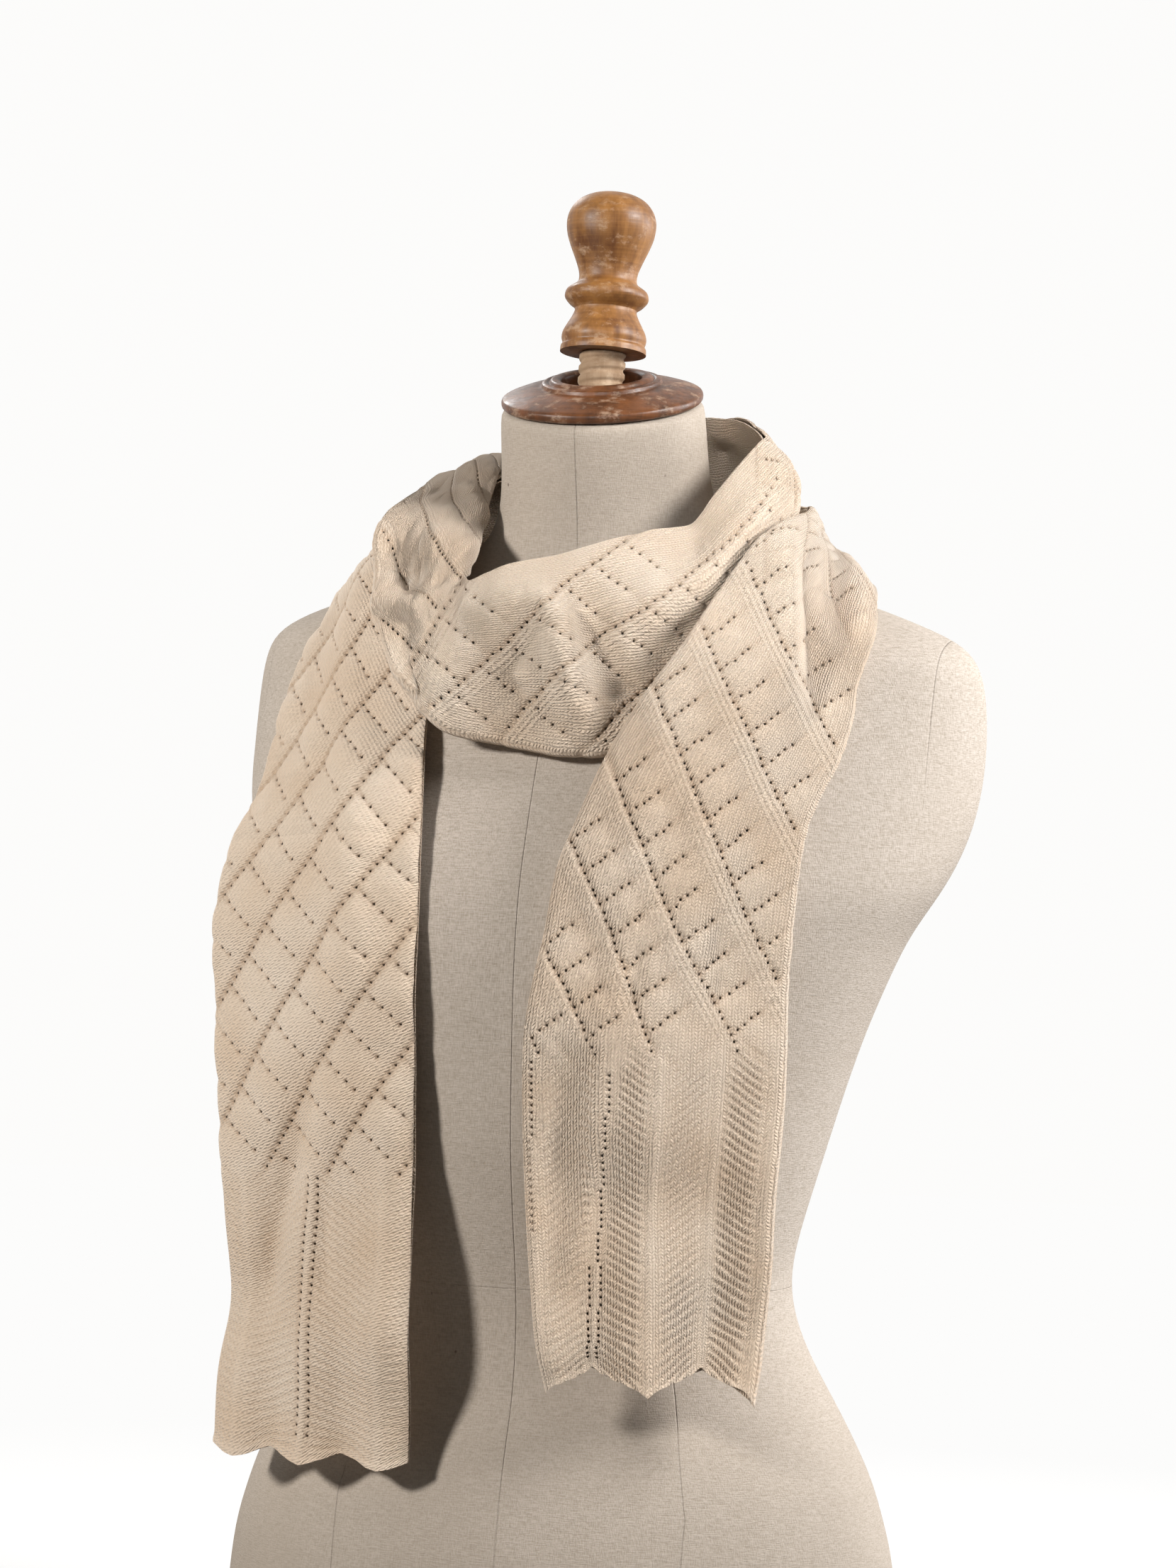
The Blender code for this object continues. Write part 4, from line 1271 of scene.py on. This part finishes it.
def lace_pattern(ring_rows, parts):
    """Eyelets, relief, share of ribs and count of ribs from the last line, at rings and columns."""
    rings = len(ring_rows)
    eyelets = np.zeros((rings, COLUMNS + 1), bool)
    relief, ribs, count = np.zeros((3, rings, COLUMNS + 1))
    stitches = np.arange(COLUMNS + 1) / 2.0
    turn_ring = (parts["scarf_back_inner"][0] + parts["scarf_back_inner"][1]) // 2
    for ring in range(rings):
        side, start = (-1, "left") if ring < turn_ring else (1, "right")
        found, relief[ring], ribs[ring], count[ring] = lattice_relief(
            stitches, ring / RINGS_PER_STEP, side, start)
        for which, distance in (("left", ring_rows[ring]),
                                ("right", ring_rows[-1] - ring_rows[ring])):
            share = min(max((HEM_ROWS[which] + HEM_FADE - distance) / (2.0 * HEM_FADE), 0.0), 1.0)
            if share > 0.0:
                row_height = STRETCHES["scarf_tail_" + which].row_height * MM
                holes, rise = hem_relief(which, stitches, distance, row_height)
                relief[ring] = relief[ring] * (1.0 - share) + rise * share
                ribs[ring] *= 1.0 - share
                found = holes if share > 0.5 else found
        first, last = parts["scarf_left_turn"]
        if first < ring < last:
            found = lace_offset(stitches, ring / RINGS_PER_STEP, side, LACE_START[start]) == 0.0
        if ring % RINGS_PER_STEP == 0:
            eyelets[ring] = found
    return eyelets, relief, ribs, count


def even_points(line, pitch):
    """Points along a line of points, one pitch apart."""
    line = np.array(line, float)
    run = run_lengths(line)
    marks = np.arange(0.0, run[-1], pitch)
    even = np.stack([np.interp(marks, run, line[:, 0]), np.interp(marks, run, line[:, 1])], axis=1)
    for _ in range(LINE_SMOOTHING):
        even[1:-1] = 0.25 * even[:-2] + 0.5 * even[1:-1] + 0.25 * even[2:]
    return even


def run_on(line):
    """A line of points, carried straight on past both ends."""
    if len(line) < 4:
        return line
    before = line[0] + (line[0] - line[3]) / 3.0 * LINE_OVERRUN
    after = line[-1] + (line[-1] - line[-4]) / 3.0 * LINE_OVERRUN
    return np.concatenate([[before], line, [after]])


def hollow(flat, line, half_width):
    """One on a line of points, and less away from it."""
    return np.exp(-(line_gaps(flat, line)[0] / half_width) ** 2)


def nearest_places(flat, facing, targets):
    """Places nearest to the targets, none side by side and none turned away from the camera."""
    found = np.zeros(flat.shape[:2], bool)
    for target in targets:
        reach = np.linalg.norm(flat - target, axis=-1) + np.where(facing > FACING_LEAST, 0.0, FAR)
        ring, column = np.unravel_index(np.argmin(reach), reach.shape)
        close = found[max(ring - 1, 0):ring + 2, max(column - 1, 0):column + 2].any()
        if reach[ring, column] < EYELET_REACH and not close:
            found[ring, column] = True
    return found


def draw_lace(band, normals, lattice, parts, ring_rows):
    """Lay the lattice along the lines that the photograph shows, over its share of a stretch."""
    eyelets, relief, ribs, count = lattice
    hem_ring = int(np.argmax(ring_rows > ring_rows[-1] - HEM_ROWS["right"]))
    for name, lace in LACE_LINES.items():
        first, last = parts[name]
        first += int((last - first) * lace["from"])
        last = min(last, hem_ring)
        flat, facing = photo_view(band[first:last], normals[first:last])
        index = np.arange(last - first)[:, None]
        blend = np.minimum(1.0, index / LACE_FADE_IN)
        if last == hem_ring:
            blend = np.minimum(blend, (last - 1 - first - index) / LACE_FADE_OUT)
        rise, rib_share = np.zeros((2,) + flat.shape[:2])
        rib_count = np.full(flat.shape[:2], FAR)
        targets = []
        for points in lace["lines"]:
            line = even_points(points, lace["pitch"])
            gap, _ = line_gaps(flat, run_on(line))
            away = gap * lace["ribs"] / RIB_PITCH
            beside = np.exp(-((away - RIBS_MIDDLE) / RIBS_REACH) ** 4)
            rib_share = np.maximum(rib_share, beside)
            rib_count = np.where(np.abs(away - 1.0) < np.abs(rib_count - 1.0), away, rib_count)
            rise += 0.5 * RIB_HEIGHT * beside - LINE_SINK * np.exp(-(gap / LINE_HALF) ** 2)
            targets += list(line)
            step = np.array(lace["branch"])
            for corner in line[::LACE_BRANCH_STEP]:
                groove = np.array([corner, corner + step * BRANCH_REACH])
                rise -= BRANCH_SINK * hollow(flat, groove, BRANCH_HALF)
                crown = np.array([corner + step, corner + step * 3.0]) + PUFF_SHIFT
                rise += PUFF_HEIGHT["right"] * hollow(flat, crown, PUFF_HALF)
                targets += [corner + step * (index + 1) for index in range(BRANCH_EYELETS)]
        relief[first:last] = relief[first:last] * (1.0 - blend) + rise * blend
        ribs[first:last] = rib_share * blend
        count[first:last] = rib_count
        eyelets[first:last] = nearest_places(flat, facing, targets)
    eyelets[:, :2] = False
    eyelets[:, -2:] = False


def softly_changing(field, parts, rings, passes):
    """What the stretches give for a field at each ring, changing softly from one to the next."""
    values = np.zeros((rings, 2))
    for name, (first, last) in parts.items():
        values[first:last + 1] = getattr(STRETCHES[name], field)
    return blurred(values, passes)[:, 0]


def layer_lines(band, normals, relief, puffs):
    """Middles of the outer layer and the back layer, apart at the fold and close at the edge."""
    share = np.linspace(0.0, 1.0, COLUMNS + 1)
    rise = 2.0 * puffs[:, None] * np.clip(1.0 - (1.0 - share) / FOLD_SHARE, 0.0, 1.0) ** 1.5
    closing = EDGE_CLOSING * np.clip(1.0 - share / EDGE_SHARE, 0.0, 1.0) ** 2
    outer = band + normals * (LAYER_OFFSET - closing + rise + relief)[..., None]
    wave = 0.5 + 0.5 * np.sin(TURN * band[..., 2] / BACK_WAVE + 4.0 * share)
    drop = BACK_DROP * wave * hanging_share(band) * (1.0 - 0.6 * share)
    back = band - normals * (LAYER_OFFSET - closing + drop)[..., None]
    return outer, back


def apart(holes):
    """Holes without those that would share a face with an earlier one."""
    taken = set()
    kept = []
    for ring, column in holes.tolist():
        near = {(ring + down, column + right) for down in (-1, 0, 1) for right in (-1, 0, 1)}
        if not near & taken:
            taken.add((ring, column))
            kept.append((ring, column))
    return np.array(kept, int).reshape(-1, 2)


def cut_eyelets(points, marks, directions, holes):
    """Points, marks and faces of the eyelets' lips and walls, in the cells round each hole."""
    rings, columns = directions.shape[:2]
    skin = rings * columns
    centres = holes[:, 0] * columns + holes[:, 1]
    rim = np.stack([centres + ring * columns + column for ring, column in EYELET_RIM], axis=1)
    sink = directions.reshape(-1, 3)[centres][:, None] * EYELET_SINK
    new_points = [points]
    new_marks = [marks]
    for start, way in ((0, -1.0), (skin, 1.0)):
        middle = points[centres + start][:, None]
        spokes = points[rim + start] - middle
        length = np.linalg.norm(spokes, axis=2, keepdims=True)
        lip = middle + spokes / length * np.minimum(EYELET_RADIUS, 0.85 * length) + sink * way
        new_points.append(lip.reshape(-1, 3))
        near = marks[rim + start].reshape(-1, marks.shape[1])
        new_marks.append(np.repeat(marks[centres], len(EYELET_RIM), axis=0) * 0.4 + near * 0.6)
    lips = len(points) + np.arange(rim.size).reshape(rim.shape)
    inner = lips + rim.size
    after = np.roll(np.arange(len(EYELET_RIM)), -1)
    faces = [np.stack(corners, axis=-1).reshape(-1, 4) for corners in (
        (rim, rim[:, after], lips[:, after], lips),
        (rim + skin, inner, inner[:, after], rim[:, after] + skin),
        (lips, lips[:, after], inner[:, after], inner))]
    return np.concatenate(new_points), np.concatenate(new_marks), faces


def build_stretch(name, band, normals, lattice, puffs, ring_rows, first, last):
    """One stretch of knitted cloth, folded double, with every eyelet a hole in its outer layer."""
    part = slice(first, last + 1)
    band, normals, puffs = band[part], normals[part], puffs[part]
    eyelets, relief, ribs, count = (field[part] for field in lattice)
    outer, back = layer_lines(band, normals, relief, puffs)
    picks = np.arange(COLUMNS, -1, -BACK_STRIDE)
    thickness = np.full((COLUMNS + 1 + len(FOLD_TURNS) + len(picks), 1), CLOTH_THICKNESS)
    thickness[[0, -1]] *= EDGE_THINNING
    points, directions = folded_wall(outer, back, normals, unit(band[:, -1] - band[:, -2]),
                                     FOLD_TURNS, picks, thickness)
    rings, columns = directions.shape[:2]
    # Painted shade round each eyelet, taken off the rise that only sets the yarn's colour
    eyelet_shade = blurred(eyelets.astype(float), 1) * 4.0 * EYELET_SHADE
    marks = np.zeros((rings, columns, 5))
    marks[..., 0] = np.concatenate([np.arange(COLUMNS + 1) / 2.0,
                                    STITCHES + np.arange(1, len(FOLD_TURNS) + 1) * 0.4,
                                    2.0 * STITCHES + 3.0 - picks / 2.0])
    marks[..., 1] = ring_rows[part, None]
    marks[:, :COLUMNS + 1, 2] = relief / MM - np.minimum(eyelet_shade, EYELET_SHADE)
    marks[:, :COLUMNS + 1, 3] = ribs
    marks[:, :COLUMNS + 1, 4] = count
    holes = apart(np.argwhere(eyelets[1:-1]) + (1, 0))
    open_cells = np.zeros((rings - 1, columns - 1), bool)
    for ring, column in holes:
        open_cells[ring - 1:ring + 1, column - 1:column + 1] = True
    points, marks, eyelet_faces = cut_eyelets(points, np.tile(marks.reshape(-1, 5), (2, 1)),
                                              directions, holes)
    faces = np.concatenate([wall_faces(rings, columns, open_cells)] + eyelet_faces)
    used, compact = np.unique(faces, return_inverse=True)
    return add_knit(name, points[used], compact.reshape(faces.shape), marks[used])


def add_knit(name, points, faces, marks):
    piece = add_mesh(name, points.tolist(), [], faces.tolist())
    mesh = piece.data
    mesh.validate()
    corners = np.zeros(len(mesh.loops), np.int32)
    mesh.loops.foreach_get("vertex_index", corners)
    layer = mesh.uv_layers.new(name="knit")
    layer.data.foreach_set("uv", marks[corners][:, :2].astype(np.float32).reshape(-1))
    for index, label in enumerate(KNIT_FIELDS):
        field = mesh.attributes.new(label, "FLOAT", "POINT")
        field.data.foreach_set("value", marks[:, 2 + index].astype(np.float32))
    mesh.shade_smooth()
    mesh.set_sharp_from_angle(angle=math.radians(60))
    return piece


def build_scarf(torso):
    form = BVHTree.FromPolygons([vertex.co for vertex in torso.data.vertices],
                                [tuple(face.vertices) for face in torso.data.polygons])
    grid, spans = coarse_band(form)
    band, ring_rows, parts = lay_band(grid, spans, form)
    normals = band_normals(band)
    lattice = lace_pattern(ring_rows, parts)
    draw_lace(band, normals, lattice, parts, ring_rows)
    relief = lattice[1]
    relief *= softly_changing("relief", parts, len(ring_rows), RELIEF_SOFTENING)[:, None]
    puffs = softly_changing("puff", parts, len(ring_rows), PUFF_SOFTENING) * MM
    right_side = knit_finish("cashmere_right_side", False)
    wrong_side = knit_finish("cashmere_wrong_side", True)
    for name, (first, last) in parts.items():
        piece = build_stretch(name.replace("scarf", "knit"), band, normals, lattice,
                              puffs, ring_rows, first, last)
        piece.data.materials.append(wrong_side if name == "scarf_tail_left" else right_side)
        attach(piece, "form")
        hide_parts(name)
        part = band[first:last + 1]


# Studio

def camera_axes():
    """Unit vectors towards the camera, to its right and up, for the photograph's view."""
    back = Vector((math.sin(VIEW_TURN), -math.cos(VIEW_TURN), 0.0))
    turn = back.to_track_quat("Z", "Y").to_matrix() @ Matrix.Rotation(VIEW_ROLL, 3, "Z")
    return back, turn @ Vector((1.0, 0.0, 0.0)), turn @ Vector((0.0, 1.0, 0.0))


def build_world():
    """White paper all round behind the form, and a dim room on the camera's side."""
    world = bpy.data.worlds.new("studio")
    world.use_nodes = True
    tree = world.node_tree
    way = output_of(tree, "ShaderNodeTexCoord", "Generated")
    aim = output_of(tree, "ShaderNodeVectorMath", "Value", {0: way, 1: -camera_axes()[0]},
                    operation="DOT_PRODUCT")
    glow = aim.spread(-0.15, 0.75, ROOM_GLOW, PAPER_GLOW)
    seen = output_of(tree, "ShaderNodeLightPath", "Is Camera Ray")
    strength = output_of(tree, "ShaderNodeMix", 0, {0: seen, 2: glow, 3: PAPER_WHITE})
    fill(tree.nodes["Background"], {"Color": WHITE_PAPER, "Strength": strength})
    bpy.context.scene.world = world


def build_floor():
    """Pale floor, as white as the paper behind it where nothing shades it."""
    bpy.ops.object.select_all(action="DESELECT")
    bpy.ops.mesh.primitive_circle_add(vertices=96, radius=3.0, fill_type="NGON")
    floor = bpy.context.active_object
    floor.name = "studio_floor"
    material, shader, place = new_finish("pale_floor")
    seen = output_of(place.tree, "ShaderNodeLightPath", "Is Camera Ray")
    away = output_of(place.tree, "ShaderNodeVectorMath", "Value", {0: place}, operation="LENGTH")
    near = away.spread(0.25, 0.9, FLOOR_SHADE, 0.0)
    pale = blend_colours(cloud(place, 3.0), *FLOOR_BOUNCE)
    shade = blend_colours(near, (0.0, 0.0, 0.0, 1.0), WHITE_PAPER)
    fill(shader, {"Base Color": blend_colours(seen, pale, shade), "Roughness": 1.0,
                  "Specular IOR Level": 0.0, "Emission Color": (1.0, 0.997, 0.99, 1.0),
                  "Emission Strength": seen * (near * -1.0 + PAPER_WHITE)})
    floor.data.materials.append(material)


def build_studio():
    """Floor, world, lights and the camera."""
    build_floor()
    build_world()
    scene = bpy.context.scene
    scene.view_settings.view_transform = "Standard"
    back, right, up = camera_axes()
    middle = Vector((0.0, 0.0, VIEW_HEIGHT))
    for name, angle, rise, size, power, colour in STUDIO_LIGHTS:
        turn = math.radians(angle)
        way = back * math.cos(turn) + Vector((right.x, right.y, 0.0)).normalized() * math.sin(turn)
        way.z += math.tan(math.radians(rise))
        lamp = bpy.data.lights.new(name, "AREA")
        lamp.shape = "DISK"
        lamp.size = size
        lamp.energy = power
        lamp.color = colour
        point_at(link_new(name, lamp), middle + way * LIGHT_DISTANCE, middle)
    lamp = bpy.data.lights.new("wrap_lamp", "SPOT")
    lamp.energy = WRAP_LAMP_POWER
    lamp.spot_size = WRAP_LAMP_BEAM
    lamp.spot_blend = 1.0
    lamp.shadow_soft_size = WRAP_LAMP_RADIUS
    place = middle + (back + Vector((0.0, 0.0, WRAP_LAMP_RISE))) * LIGHT_DISTANCE
    point_at(link_new("wrap_lamp", lamp), place, WRAP_LAMP_AIM)
    camera = bpy.data.cameras.new("camera")
    camera.sensor_fit = "AUTO"
    camera.sensor_width = 36.0
    camera.lens = camera.sensor_width * (VIEW_DISTANCE / VIEW_SCALE) / VIEW_PIXELS[1]
    scene.camera = link_new("camera", camera)
    scene.camera.location = middle + back * VIEW_DISTANCE
    scene.camera.rotation_euler = Matrix((right, up, back)).transposed().to_euler()


def main():
    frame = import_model()
    build_studio()
    torso = frame["nodes"]["torso"]
    build_cover(torso)
    build_cap()
    build_screw()
    build_knob()
    build_scarf(torso)


main()
